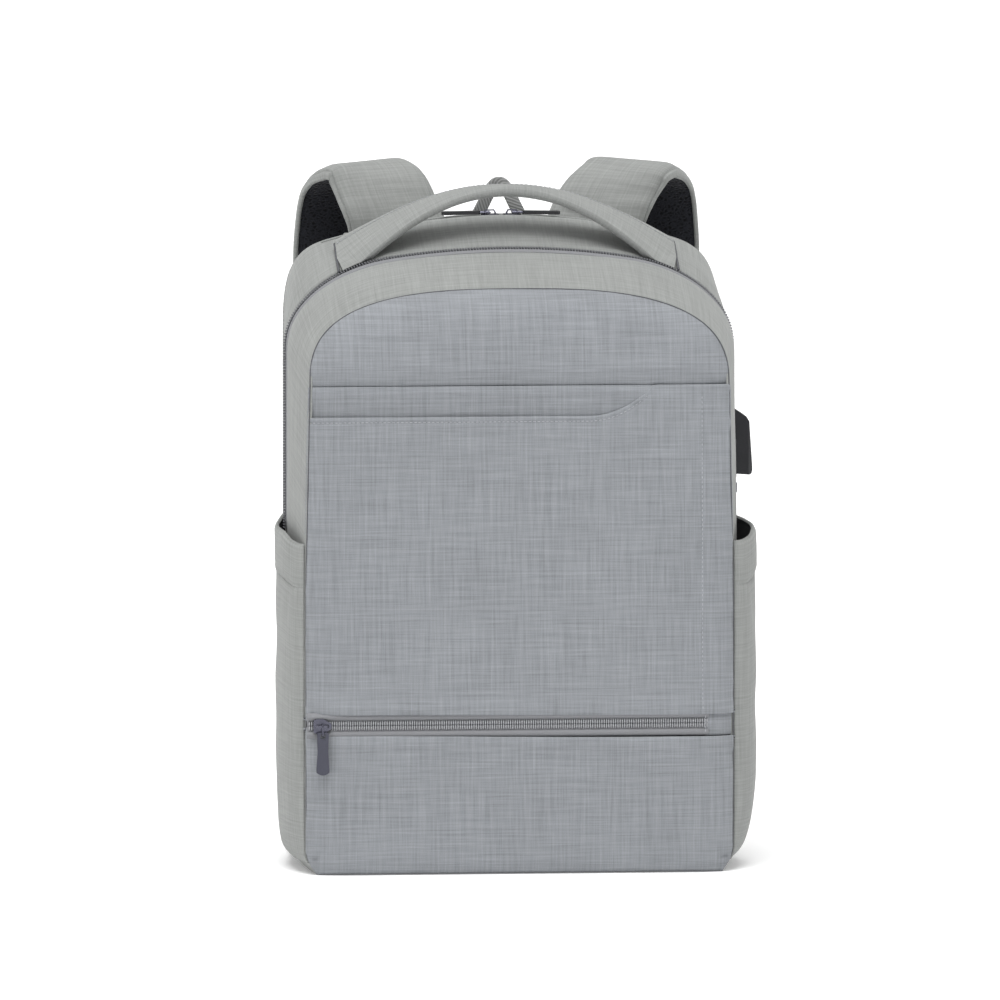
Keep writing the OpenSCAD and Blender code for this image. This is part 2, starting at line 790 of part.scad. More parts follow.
back_panel();
back_pad(-1);  // back_pad_left
back_pad(1);  // back_pad_right
base_panel();
rear_gusset();
side_panel(-1);  // side_panel_left
side_panel(1);  // side_panel_right
lower_pocket_panel();
pocket_lining();
pocket_panel_lower();
slip_pocket_floor();
laptop_divider();
main_zip_rear_tape();
top_tape(-1);  // laptop_zip_front_tape
top_tape(1);  // laptop_zip_rear_tape
lower_tape(1);  // lower_zip_top_tape
lower_tape(-1);  // lower_zip_bottom_tape
lower_zip_end_tab();
side_pocket(-1);  // side_pocket_left
side_pocket(1);  // side_pocket_right
pocket_hem(-1);  // pocket_hem_left
pocket_hem(1);  // pocket_hem_right
usb_housing();
usb_socket_shell();
usb_tongue();
usb_lead_gland();
hang_loop();
handle_end(-1);  // handle_end_left
handle_end(1);  // handle_end_right
strap_anchor(-1);  // strap_anchor_left
strap_anchor(1);  // strap_anchor_right
lower_webbing(-1);  // lower_webbing_left
lower_webbing(1);  // lower_webbing_right
flap_gusset();
upper_front_panel();
pocket_facing();
pocket_panel_upper();
main_zip_front_tape();
handle_grip();
lower_slider();
lower_pull_ring();
lower_pull_tab();
at_top_slider(-1) slider();  // laptop_slider_left
at_top_slider(-1) pull_loop();  // laptop_pull_loop_left
at_top_slider(-1) pull_tab();  // laptop_pull_tab_left
at_top_slider(1) slider();  // laptop_slider_right
at_top_slider(1) pull_loop();  // laptop_pull_loop_right
at_top_slider(1) pull_tab();  // laptop_pull_tab_right
at_main_slider() slider();  // main_slider
at_main_slider() pull_loop();  // main_pull_loop
at_main_slider() pull_tab();  // main_pull_tab
strap_pad(-1);  // strap_pad_left
strap_mesh(-1);  // strap_mesh_left
ladder_lock(-1);  // ladder_lock_left
strap_tail(-1);  // strap_tail_left
strap_pad(1);  // strap_pad_right
strap_mesh(1);  // strap_mesh_right
ladder_lock(1);  // ladder_lock_right
strap_tail(1);  // strap_tail_right
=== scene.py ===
"""Looks of the laptop backpack: sewn cloth, zips, straps and studio, built around the CAD frame."""
import math

import bpy
import numpy as np
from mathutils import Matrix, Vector, noise


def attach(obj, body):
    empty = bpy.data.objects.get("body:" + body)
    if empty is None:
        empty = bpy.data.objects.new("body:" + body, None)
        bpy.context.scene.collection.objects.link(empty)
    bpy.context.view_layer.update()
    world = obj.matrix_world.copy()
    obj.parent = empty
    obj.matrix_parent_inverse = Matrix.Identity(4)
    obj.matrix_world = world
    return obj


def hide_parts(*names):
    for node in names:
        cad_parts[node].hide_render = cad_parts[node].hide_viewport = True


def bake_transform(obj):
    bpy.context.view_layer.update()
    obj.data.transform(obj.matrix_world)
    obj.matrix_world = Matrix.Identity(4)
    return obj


MM = 0.001
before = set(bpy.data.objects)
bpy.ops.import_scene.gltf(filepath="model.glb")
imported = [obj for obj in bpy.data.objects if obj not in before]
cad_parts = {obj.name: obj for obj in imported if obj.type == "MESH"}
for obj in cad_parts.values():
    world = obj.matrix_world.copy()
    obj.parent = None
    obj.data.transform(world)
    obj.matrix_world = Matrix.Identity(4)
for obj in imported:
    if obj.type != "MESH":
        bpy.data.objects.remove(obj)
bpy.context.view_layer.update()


# ------------------------ dimensions, in millimetres
HALF_W, HALF_W_BACK, BODY_H, ZIP_H, HALF_D = 157.0, 153.0, 450.5, 430.7, 87.5
FOLD_Z, LEDGE_Z, MOUTH_Z, FRONT_H = 235.0, 341.0, 320.0, 407.3
LOW_ZIP_Z, MAIN_ZIP_Y, TOP_ZIP_Y = 105.0, 4.5, 66.0
TOP_RAD, ZIP_RAD = 456.0, 560.0
SEAM_HALF, SEAM_LOW_HALF, SEAM_POW = 147.0, 150.0, 2.8
SEAM_Y, SEAM_TOP_Y = 9.5 - HALF_D, 38.0 - HALF_D
BASE_HALF = 133.0
CORNER_Z = 359.4
LOW_R = 9.5


def lerp(a, b, t):
    return a + (b - a) * t


def clip(t):
    return max(0.0, min(1.0, t))


def ramp(v, a, b):
    return clip((v - a) / (b - a))


def smooth(v, a, b):
    t = ramp(v, a, b)
    return t * t * (3 - 2 * t)


def arch(x, crown, rad):
    return crown - rad + math.sqrt(rad * rad - x * x)


# ------------------------ the body's outline
def back_t(y):
    """How far y is from the main zip, 0, to the laptop zip, 1."""
    return ramp(y, MAIN_ZIP_Y, TOP_ZIP_Y - 7)


def rim_t(y):
    """How far y is into the rounding of the back edge, from 0 to 1."""
    return ramp(y, 76, HALF_D - 3.5)


def hw_at(y):
    """Half the body's width at depth y."""
    return lerp(HALF_W, HALF_W_BACK, back_t(y)) - 1.5 * rim_t(y)


def crown_at(y):
    """Height of the middle of the top at depth y."""
    return lerp(ZIP_H, BODY_H, back_t(y)) - 3 * rim_t(y)


def rad_at(y):
    return lerp(ZIP_RAD, TOP_RAD, back_t(y))


def half_outline(y, n_arch=14, n_corner=16, n_side=44, n_low=7):
    """The right half of the body's outline at depth y, from the middle of the top to the base."""
    hw, crown, rad = hw_at(y), crown_at(y), rad_at(y)
    xa, zb = lerp(80, 110, back_t(y)), lerp(CORNER_Z, 350, back_t(y))
    e, rb = 2 / lerp(2.5, 4.4, back_t(y)), hw - BASE_HALF
    pts = [(xa * i / n_arch, arch(xa * i / n_arch, crown, rad)) for i in range(n_arch + 1)]
    for i in range(1, n_corner + 1):
        a = math.pi / 2 * i / n_corner
        x = xa + (hw - xa) * math.sin(a) ** e
        pts.append((x, zb + (arch(x, crown, rad) - zb) * max(0.0, math.cos(a)) ** e))
    pts += [(hw, lerp(zb, rb, i / n_side)) for i in range(1, n_side + 1)]
    for i in range(1, n_low + 1):
        a = math.pi / 2 * i / n_low
        pts.append((hw - rb + rb * math.cos(a), rb - rb * math.sin(a)))
    return pts


def outline(y, **kw):
    """The outline at depth y, from bottom left over the top to bottom right."""
    half = half_outline(y, **kw)
    return np.array([(-x, z) for x, z in half[:0:-1]] + half)


def path_normals(p):
    d = np.gradient(p, axis=0)
    n = np.stack([-d[:, 1], d[:, 0]], 1)
    return n / np.linalg.norm(n, axis=1)[:, None]


def shrink(p, t):
    """An outline moved inwards by t."""
    return p - t * path_normals(p)


def top_z(x, y):
    """Height of the body's top over x and y."""
    xa, zb = lerp(80, 110, back_t(y)), lerp(CORNER_Z, 350, back_t(y))
    e = 2 / lerp(2.5, 4.4, back_t(y))
    s = max(0.0, (abs(x) - xa) / (hw_at(y) - xa)) ** (1 / e)
    return zb + (arch(x, crown_at(y), rad_at(y)) - zb) * max(0.0, 1 - s * s) ** (e / 2)


# ------------------------ the front panel's surface
def seam_x(z):
    """Half the width between the side seams of the front at height z."""
    if z > LEDGE_Z:
        return SEAM_HALF
    return lerp(SEAM_LOW_HALF, SEAM_HALF, ramp(z, 200, LEDGE_Z)) - 8 * (1 - ramp(z, 0, 18)) ** 2


def seam_z(x):
    """Height of the seam round the top of the front, over x."""
    inside = max(0.0, 1 - (abs(x) / SEAM_HALF) ** SEAM_POW)
    return LEDGE_Z + (FRONT_H - LEDGE_Z) * inside ** (1 / SEAM_POW)


def rise(z):
    """How far z is up the rounded top of the front, from 0 to 1."""
    return clip((z - LEDGE_Z) / (FRONT_H - LEDGE_Z))


def seam_depth(z):
    return lerp(SEAM_Y, SEAM_TOP_Y, rise(z) ** 1.5)


def face_mid(z):
    if z > LEDGE_Z:
        return SEAM_TOP_Y - (HALF_D - 8 + SEAM_TOP_Y) * max(0.0, 1 - rise(z) ** 2.2) ** (1 / 2.2)
    low = 0 if z > LOW_R else LOW_R - math.sqrt(LOW_R ** 2 - (LOW_R - z) ** 2)
    return low - HALF_D + 3.5 * ramp(z, 110, FOLD_Z) + 4.5 * ramp(z, FOLD_Z, LEDGE_Z)


def face(x, z):
    """The front's surface: y over x and z."""
    if z > LEDGE_Z:
        q = ((abs(x) / SEAM_HALF) ** SEAM_POW + rise(z) ** SEAM_POW) ** (1 / SEAM_POW)
    else:
        q = abs(x) / seam_x(z)
    return lerp(face_mid(z), max(seam_depth(z), face_mid(z)), min(1.0, q) ** lerp(20, 9, rise(z)))


def mouth_top(x):
    """Height of the slip pocket's mouth: level, then a quarter turn up to the ledge."""
    return MOUTH_Z + (LEDGE_Z - MOUTH_Z) * ramp(x, 48, 93) ** 2.1


def bumps(p, size, seed):
    return noise.noise(Vector((p[0] / size + seed, p[1] / size, p[2] / size)))


# ------------------------ meshes
def spread(n, a=-1.0, b=1.0):
    """n + 1 positions from a to b, closer together at both ends."""
    return [lerp(a, b, (1 + math.sin(math.pi * (i / n - 0.5))) / 2) for i in range(n + 1)]


def finish_mesh(name, verts, faces, mats, uvs=None, mat_index=None, smooth_it=True):
    mesh = bpy.data.meshes.new(name)
    mesh.from_pydata([tuple(v) for v in np.asarray(verts) * MM], [], faces)
    for m in mats:
        mesh.materials.append(m)
    if mat_index is not None:
        mesh.polygons.foreach_set("material_index", mat_index)
    if uvs is not None:
        layer = mesh.uv_layers.new(name="UVMap")
        loops = np.zeros(len(mesh.loops), np.int32)
        mesh.loops.foreach_get("vertex_index", loops)
        layer.data.foreach_set("uv", (np.asarray(uvs)[loops] * 0.01).astype(np.float32).ravel())
    mesh.validate()
    obj = bpy.data.objects.new(name, mesh)
    bpy.context.scene.collection.objects.link(obj)
    if smooth_it:
        mesh.polygons.foreach_set("use_smooth", [True] * len(mesh.polygons))
    return obj


def grid_normals(P):
    n = np.cross(np.gradient(P, axis=1), np.gradient(P, axis=0))
    return n / np.maximum(np.linalg.norm(n, axis=2), 1e-9)[:, :, None]


def grid_uv(P):
    du = np.linalg.norm(np.diff(P, axis=1), axis=2)
    dv = np.linalg.norm(np.diff(P, axis=0), axis=2)
    u = np.concatenate([np.zeros((P.shape[0], 1)), np.cumsum(du, 1)], 1)
    v = np.concatenate([np.zeros((1, P.shape[1])), np.cumsum(dv, 0)], 0)
    mid_c = P.shape[1] // 2
    u = u - u[:, mid_c:mid_c + 1]
    v = np.tile(v[:, mid_c:mid_c + 1], (1, P.shape[1])) if P.shape[0] < P.shape[1] * 3 else v
    return np.stack([u + 0 * v, v], 2)


def panel(name, P, t, mats, flip=False, turn_uv=False, keep=None, flat_uv=False):
    """A cloth panel of thickness t under the grid P, with rolled edges; mats are outside, inside."""
    P = np.asarray(P, float)
    N = (grid_normals(P) * (-1 if flip else 1)).reshape(-1, 3)
    R, C = P.shape[:2]
    UV = grid_uv(P)
    UV = (P[:, :, ::2] if flat_uv else UV[:, :, ::-1] if turn_uv else UV).reshape(-1, 2)
    O = P.reshape(-1, 3)
    outside = []
    for r in range(R - 1):
        for c in range(C - 1):
            if keep is None or keep(r, c):
                q = [r * C + c, r * C + c + 1, (r + 1) * C + c + 1, (r + 1) * C + c]
                outside.append(q[::-1] if flip else q)
    edges = {(q[k], q[(k + 1) % 4]) for q in outside for k in range(4)}
    rim = sorted(e for e in edges if (e[1], e[0]) not in edges)
    away = {}
    for a, b in rim:
        d = np.cross(O[b] - O[a], N[a])
        for k in (a, b):
            away[k] = away.get(k, 0) + d
    spots = sorted(away)
    place_of = {k: 2 * R * C + i for i, k in enumerate(spots)}
    mid = [O[k] - N[k] * t / 2 + away[k] / max(np.linalg.norm(away[k]), 1e-9) * t / 2 for k in spots]
    n = R * C
    verts = np.concatenate([O, O - t * N, np.array(mid).reshape(-1, 3)])
    uvs = np.concatenate([UV, UV, UV[spots]])
    faces = outside + [[k + n for k in q[::-1]] for q in outside]
    mi = [0] * len(outside) + [len(mats) - 1] * len(outside)
    for a, b in rim:
        faces += [[b, a, place_of[a], place_of[b]], [place_of[b], place_of[a], a + n, b + n]]
        mi += [0, 0]
    used = sorted({k for q in faces for k in q})
    new = {k: i for i, k in enumerate(used)}
    faces = [[new[k] for k in q] for q in faces]
    return finish_mesh(name, verts[used], faces, mats, uvs[used], mi)


def frames_along(path, hint):
    """Tangent, sideways and outward directions along a path, from a hint of the sideways direction."""
    path = np.asarray(path, float)
    T = np.gradient(path, axis=0)
    T /= np.linalg.norm(T, axis=1)[:, None]
    hint = np.asarray(hint, float)
    hint = np.tile(hint, (len(path), 1)) if hint.ndim == 1 else hint
    S = hint - T * np.sum(hint * T, 1)[:, None]
    S /= np.linalg.norm(S, axis=1)[:, None]
    return T, S, np.cross(T, S)


def resample(path, step, closed=False):
    path = np.asarray(path, float)
    if closed:
        path = np.concatenate([path, path[:1]])
    d = np.concatenate([[0], np.cumsum(np.linalg.norm(np.diff(path, axis=0), axis=1))])
    n = max(2, int(round(d[-1] / step)))
    s = np.linspace(0, d[-1], n + 1)
    return np.stack([np.interp(s, d, path[:, k]) for k in range(path.shape[1])], 1)


def curve_through(points, n):
    """A smooth curve through the points, with n samples."""
    p = np.asarray(points, float)
    p = np.concatenate([[2 * p[0] - p[1]], p, [2 * p[-1] - p[-2]]])
    out = []
    for s in np.linspace(0, len(points) - 1 - 1e-9, n):
        i, t = int(s), s - int(s)
        a, b, c, d = p[i:i + 4]
        out.append(0.5 * (2 * b + (c - a) * t + (2 * a - 5 * b + 4 * c - d) * t * t
                          + (3 * b - a - 3 * c + d) * t ** 3))
    return np.array(out)


def sweep(name, path, S, N, section, mats, caps=True, mat_of=None):
    """A closed section, a list of (sideways, outwards) per station, swept along a path."""
    path = np.asarray(path, float)
    R = len(path)
    sec = np.asarray([section(i) for i in range(R)]) if callable(section) else np.tile(section, (R, 1, 1))
    C = sec.shape[1]
    V = path[:, None, :] + S[:, None, :] * sec[:, :, :1] + N[:, None, :] * sec[:, :, 1:2]
    d = np.concatenate([[0], np.cumsum(np.linalg.norm(np.diff(path, axis=0), axis=1))])
    around = np.concatenate([[0], np.cumsum(np.linalg.norm(np.diff(sec[R // 2], axis=0), axis=1))])
    uv = np.stack([np.tile(around, (R, 1)), np.tile(d[:, None], (1, C))], 2)
    faces, mi = [], []
    for r in range(R - 1):
        for c in range(C):
            c2 = (c + 1) % C
            faces.append([r * C + c, r * C + c2, (r + 1) * C + c2, (r + 1) * C + c])
            mi.append(mat_of(c) if mat_of else 0)
    verts = V.reshape(-1, 3)
    uvs = uv.reshape(-1, 2)
    if caps:
        for r, rev in ((0, True), (R - 1, False)):
            base = len(verts)
            verts = np.concatenate([verts, [V[r].mean(0)]])
            uvs = np.concatenate([uvs, [uv[r].mean(0)]])
            for c in range(C):
                a, b = r * C + c, r * C + (c + 1) % C
                faces.append([b, a, base] if rev else [a, b, base])
                mi.append(0)
    return finish_mesh(name, verts, faces, mats, uvs, mi)


def ring(a, b, n, power=2.0):
    """A superellipse section, half sizes a and b."""
    out = []
    for i in range(n):
        t = 2 * math.pi * i / n
        c, s = math.cos(t), math.sin(t)
        out.append((a * math.copysign(abs(c) ** (2 / power), c), b * math.copysign(abs(s) ** (2 / power), s)))
    return np.array(out)


def strand(name, path, r, mat, hint=(0, 1, 0), n=8):
    T, S, N = frames_along(path, hint)
    return sweep(name, path, S, N, ring(r, r, n), [mat])


def beads(name, centres, ax, ay, az, half, mat, rings=3, around=6):
    """Many small rounded grains with their own axes, as one mesh: stitches and coil teeth."""
    unit_v = [(0, 0, 1)]
    for i in range(1, rings + 1):
        a = math.pi * i / (rings + 1)
        unit_v += [(math.sin(a) * math.cos(2 * math.pi * j / around),
                    math.sin(a) * math.sin(2 * math.pi * j / around),
                    math.cos(a)) for j in range(around)]
    unit_v.append((0, 0, -1))
    unit_v = np.array(unit_v)
    tip = len(unit_v) - 1
    f = []
    for j in range(around):
        k = (j + 1) % around
        f.append([0, 1 + j, 1 + k])
        for i in range(rings - 1):
            here, below = 1 + i * around, 1 + (i + 1) * around
            f.append([here + j, below + j, below + k, here + k])
        f.append([1 + (rings - 1) * around + j, tip, 1 + (rings - 1) * around + k])
    centres, ax, ay, az = (np.asarray(v, float) for v in (centres, ax, ay, az))
    V = (centres[:, None, :]
         + unit_v[None, :, :1] * half[0] * ax[:, None, :]
         + unit_v[None, :, 1:2] * half[1] * ay[:, None, :]
         + unit_v[None, :, 2:] * half[2] * az[:, None, :]).reshape(-1, 3)
    faces = [[i * (tip + 1) + k for k in q] for i in range(len(centres)) for q in f]
    return finish_mesh(name, V, faces, [mat])


def stitch_line(path, normal, pitch=3.2, lift=0.12):
    """Centres and axes of the stitches along a path on a surface."""
    p = resample(path, pitch)
    nn = np.asarray(normal, float)
    if nn.ndim == 2:
        src = np.asarray(path, float)
        d = np.linalg.norm(p[:, None, :] - src[None, :, :], axis=2).argmin(1)
        nn = nn[d]
    T, S, N = frames_along(p, np.cross(nn, np.gradient(p, axis=0)))
    keep = slice(0, len(p) - 1)
    mid = (p[:-1] + p[1:]) / 2
    return mid + lift * N[keep], T[keep], S[keep], N[keep]


def stitches(name, lines, mat, half=(1.15, 0.33, 0.3)):
    parts = [stitch_line(*line) if isinstance(line, tuple) else line for line in lines]
    c, t, s, n = (np.concatenate([p[k] for p in parts]) for k in range(4))
    return beads(name, c, s, n, t, (half[1], half[2], half[0]), mat)


# ------------------------ materials
def material(name, base, rough=0.8, metallic=0.0, specular=0.3, sheen=0.0, coat=0.0):
    m = bpy.data.materials.new(name)
    m.use_nodes = True
    b = m.node_tree.nodes["Principled BSDF"]
    b.inputs["Base Color"].default_value = (*base, 1)
    b.inputs["Roughness"].default_value = rough
    b.inputs["Metallic"].default_value = metallic
    b.inputs["Specular IOR Level"].default_value = specular
    b.inputs["Sheen Weight"].default_value = sheen
    b.inputs["Sheen Roughness"].default_value = 0.5
    b.inputs["Coat Weight"].default_value = coat
    return m


class Nodes:
    """Short ways to add shader nodes to a material."""

    def __init__(self, mat):
        self.tree = mat.node_tree
        self.bsdf = self.tree.nodes["Principled BSDF"]

    def add(self, kind, **values):
        n = self.tree.nodes.new(kind)
        for k, v in values.items():
            setattr(n, k, v)
        return n

    def link(self, a, b):
        self.tree.links.new(a, b)

    def coords(self, kind, scale, offset=(0, 0, 0)):
        tc = self.add("ShaderNodeTexCoord")
        mp = self.add("ShaderNodeMapping")
        mp.inputs["Scale"].default_value = scale
        mp.inputs["Location"].default_value = offset
        self.link(tc.outputs[kind], mp.inputs["Vector"])
        return mp.outputs["Vector"]

    def noise(self, vector, scale=1.0, detail=2.0, rough=0.5):
        n = self.add("ShaderNodeTexNoise")
        n.inputs["Scale"].default_value = scale
        n.inputs["Detail"].default_value = detail
        n.inputs["Roughness"].default_value = rough
        self.link(vector, n.inputs["Vector"])
        return n.outputs["Fac"]

    def bands(self, direction, scale, distortion=0.0):
        n = self.add("ShaderNodeTexWave", wave_type="BANDS", bands_direction=direction)
        n.inputs["Scale"].default_value = 1.0
        n.inputs["Distortion"].default_value = distortion
        self.link(self.coords("UV", (scale, scale, 1)), n.inputs["Vector"])
        return n.outputs["Fac"]

    def math(self, op, a, b=0.0, c=None, clamp=False):
        n = self.add("ShaderNodeMath", operation=op, use_clamp=clamp)
        for i, v in enumerate((a, b) if c is None else (a, b, c)):
            if isinstance(v, (int, float)):
                n.inputs[i].default_value = v
            else:
                self.link(v, n.inputs[i])
        return n.outputs[0]

    def stretch(self, v, lo, hi):
        n = self.add("ShaderNodeMapRange", clamp=True)
        n.inputs["From Min"].default_value = lo
        n.inputs["From Max"].default_value = hi
        self.link(v, n.inputs["Value"])
        return n.outputs["Result"]

    def ramp(self, v, stops):
        n = self.add("ShaderNodeValToRGB")
        for i, (pos, col) in enumerate(stops):
            e = n.color_ramp.elements[i] if i < 2 else n.color_ramp.elements.new(pos)
            e.position = pos
            e.color = (*col, 1)
        self.link(v, n.inputs["Fac"])
        return n.outputs["Color"]

    def bump(self, height, strength, distance):
        n = self.add("ShaderNodeBump")
        n.inputs["Strength"].default_value = strength
        n.inputs["Distance"].default_value = distance
        self.link(height, n.inputs["Height"])
        self.link(n.outputs["Normal"], self.bsdf.inputs["Normal"])


def srgb(*c):
    return tuple(((v / 255 + 0.055) / 1.055) ** 2.4 if v > 10 else v / 255 / 12.92 for v in c)


def scaled(c, k):
    return tuple(v * k for v in c)


# the threads of the melange: scale, offset, detail, roughness and share of the whole
THREADS = (((1.6, 62, 1), (0, 0, 0), 3.0, 0.65, 0.26),  # weft
           ((58, 1.8, 1), (3.1, 1.7, 0), 3.0, 0.65, 0.25),  # warp
           ((3.5, 120, 1), (7, 3, 0), 2.0, 0.7, 0.16),  # slubs along the weft
           ((110, 3.2, 1), (1, 9, 0), 2.0, 0.7, 0.14),  # slubs along the warp
           ((150, 150, 1), (0, 0, 0), 2.0, 0.6, 0.10),  # grain
           ((2.2, 1.6, 1), (0, 0, 0), 2.0, 0.5, 0.08))  # clouding


def melange(name, base, contrast=1.0, bump=0.35, sheen=0.15):
    """Linen-look cloth: fine crossing threads with longer, lighter and darker slubs both ways."""
    m = material(name, base, 0.88, 0, 0.25, sheen)
    n = Nodes(m)
    total = 0.0
    for scale, offset, detail, rough, share in THREADS:
        layer = n.noise(n.coords("UV", scale, offset), 1.0, detail, rough)
        total = n.math("ADD", total, n.math("MULTIPLY", layer, share))
    half_span = 0.13 / contrast
    v = n.stretch(total, 0.5 - half_span, 0.5 + half_span)
    col = n.ramp(v, [(0.0, scaled(base, 0.70)), (1.0, scaled(base, 1.30))])
    n.link(col, n.bsdf.inputs["Base Color"])
    weave = n.math("ADD", n.math("MULTIPLY", n.bands("X", 30), 0.25),
                   n.math("MULTIPLY", n.bands("Y", 30), 0.25))
    n.bump(n.math("ADD", weave, total), bump, 0.0004)
    return m


def twill(name, base, pitch=1.0):
    m = material(name, base, 0.85, 0, 0.25, 0.1)
    n = Nodes(m)
    w = n.bands("DIAGONAL", 22 / pitch, 0.6)
    n.link(n.ramp(w, [(0.1, scaled(base, 0.72)), (0.9, scaled(base, 1.2))]), n.bsdf.inputs["Base Color"])
    n.bump(w, 0.5, 0.0004)
    return m


def air_mesh(name, base):
    m = material(name, base, 0.9, 0, 0.2, 0.1)
    n = Nodes(m)
    v = n.add("ShaderNodeTexVoronoi", feature="DISTANCE_TO_EDGE")
    v.inputs["Scale"].default_value = 1.0
    n.link(n.coords("UV", (32, 40, 1)), v.inputs["Vector"])
    hole = n.stretch(v.outputs["Distance"], 0.05, 0.35)
    col = n.ramp(hole, [(0.0, scaled(base, 2.2)), (1.0, scaled(base, 0.35))])
    n.link(col, n.bsdf.inputs["Base Color"])
    n.bump(n.math("SUBTRACT", 1.0, hole), 0.8, 0.0008)
    return m


def tape_cloth(name, base):
    m = material(name, base, 0.85, 0, 0.25, 0.05)
    n = Nodes(m)
    grain = n.noise(n.coords("UV", (90, 90, 1)), 1.0, 2.0, 0.6)
    v = n.math("ADD", n.math("MULTIPLY", n.bands("X", 60), 0.5), n.math("MULTIPLY", grain, 0.5))
    n.link(n.ramp(v, [(0.1, scaled(base, 0.8)), (0.9, scaled(base, 1.15))]), n.bsdf.inputs["Base Color"])
    n.bump(v, 0.4, 0.0003)
    return m


def speckled(name, base, rough, metallic=0.0, specular=0.5, coat=0.0, scale=900, amount=0.12, bump=0.1):
    """Plastics and metals: faint mottling and micro wear in object space."""
    m = material(name, base, rough, metallic, specular, 0, coat)
    n = Nodes(m)
    f = n.noise(n.coords("Object", (1, 1, 1)), scale, 3.0, 0.6)
    col = n.ramp(f, [(0.3, scaled(base, 1 - amount)), (0.7, scaled(base, 1 + amount))])
    n.link(col, n.bsdf.inputs["Base Color"])
    r = n.noise(n.coords("Object", (1, 1, 1)), scale * 0.12, 3.0, 0.6)
    n.link(n.math("MULTIPLY_ADD", r, 0.25, rough - 0.125, clamp=True), n.bsdf.inputs["Roughness"])
    n.bump(f, bump, 0.0002)
    return m


FRONT = melange("cloth_front", srgb(133, 136, 140))
BODY = melange("cloth_body", srgb(139, 141, 139), 0.8)
LINING = tape_cloth("lining_dark", srgb(62, 62, 66))
MESH = air_mesh("air_mesh", srgb(20, 21, 25))
WEB = twill("webbing_grey", srgb(138, 139, 138))
TAPE = tape_cloth("tape_grey", srgb(130, 131, 134))
# the zip coil darkened as painted shade of its recess between the cloth edges; coil_light below is the same
# coil without it
COIL_SHADED = speckled("coil_painted_shade", srgb(98, 99, 103), 0.5, amount=0.15)
COIL_LIGHT = speckled("coil_light", srgb(160, 161, 164), 0.5, amount=0.1)
THREAD = speckled("thread", srgb(158, 160, 164), 0.8, amount=0.2)
# dark grey for the strands laid in seam grooves: painted shade of the grooves
SEAM_SHADE = speckled("seam_shadow", srgb(92, 93, 96), 0.9, amount=0.2, specular=0.1)
METAL = speckled("slider_plating", srgb(92, 92, 104), 0.26, 0.85, 0.5, scale=1500, amount=0.1)
PULL = speckled("pull_moulding", srgb(62, 63, 75), 0.4, 0.1, 0.5, scale=1200, amount=0.06)
PULL_DARK = speckled("pull_dark", srgb(34, 34, 38), 0.42, 0.0, 0.5, scale=1200, amount=0.1)
PORT = speckled("port_gloss", srgb(23, 24, 29), 0.38, 0.0, 0.3, 0.1, scale=700, amount=0.06, bump=0.02)
SOCKET = speckled("socket_plating", srgb(170, 170, 174), 0.3, 1.0, 0.5, scale=1500, amount=0.06)
TONGUE = speckled("tongue_moulding", srgb(205, 206, 210), 0.5, scale=900, amount=0.03)
LOCK = speckled("lock_moulding", srgb(46, 47, 51), 0.45, scale=900, amount=0.08)


FOLD = ("bag", "front_flap", (0, -0.0843, 0.170), (0, -0.0843, 0.300))
SWING = ("bag", "handle", (0, 0.028, 0.426), (0, 0.028, 0.442))


def place(obj, body=None, bend=None, nodes=()):
    if bend:
        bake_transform(obj)
    else:
        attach(obj, body)
    if nodes:
        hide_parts(*nodes)
    return obj


def groove(v, at, width):
    """How deep a sewn line pulls the cloth in, from 0 to 1, at a distance from it."""
    return math.exp(-((v - at) / width) ** 2)


def soft(p, size, amount, seed):
    return amount * bumps(p, size, seed)


# ------------------------ the front: slip pocket, facing and upper cloth
SIDE_STITCH_X = 127.6
across = spread(110)


def upper_fold(x):
    return 112.4 - 1.4 * smooth(x, -140, 90) - 4.5 * smooth(-x, 143.5, 149)


def lower_fold(x):
    return 97.6 - 2.2 * smooth(x, -140, 90) + 5.5 * smooth(-x, 143.5, 149)


def near_edge(x, z):
    """Small folds beside the side seams."""
    d = seam_x(z) - abs(x)
    fine = 0.45 * math.exp(-d / 6) * bumps((x, z, 3), 9, 2.0)
    broad = 0.5 * math.exp(-d / 16) * bumps((x, z, 9), 26, 5.0)
    return fine + broad


def pocket_surface(x, z, top):
    y = face(x, z) - soft((x, z, 0), 85, 0.7, 1.0) - near_edge(x, z)
    y += 0.6 * groove(x, SIDE_STITCH_X, 1.3) * ramp(z, 116, 122)
    y += 0.55 * groove(z, top - 3.6, 1.2) * (1 - smooth(x, 88, 93))
    y -= 0.7 * math.exp(-max(0.0, top - z) / 1.6) * (1 - smooth(x, 90, 95))
    y += 1.6 * math.exp(-max(0.0, top - z) / 0.45) * (1 - smooth(x, 90, 96))
    y -= 0.9 * math.exp(-((z - upper_fold(x) - 5) / 5) ** 2)
    return y


rows = []
for dz, dy in ((1.7, 3.0), (0.5, 2.2), (-0.1, 1.1), (0.1, 0.2), (0.9, -0.1)):
    rows.append([(x, pocket_surface(x, upper_fold(x) + 1.2, mouth_top(x)) + dy, upper_fold(x) + dz)
                 for x in (u * seam_x(113) for u in across)])
for v in list(np.linspace(0.012, 0.9, 90)) + list(np.linspace(0.91, 1.0, 16)):
    row = []
    for u in across:
        x = u * SEAM_HALF
        top = mouth_top(x)
        z = lerp(upper_fold(x) + 0.9, top - 0.15, v)
        x = u * seam_x(z)
        row.append((x, pocket_surface(x, z, top), z))
    rows.append(row)
pocket = panel("slip_pocket_cloth", rows, 1.7, [FRONT, LINING], flat_uv=True)
place(pocket, bend=FOLD, nodes=("pocket_panel_upper", "pocket_panel_lower"))

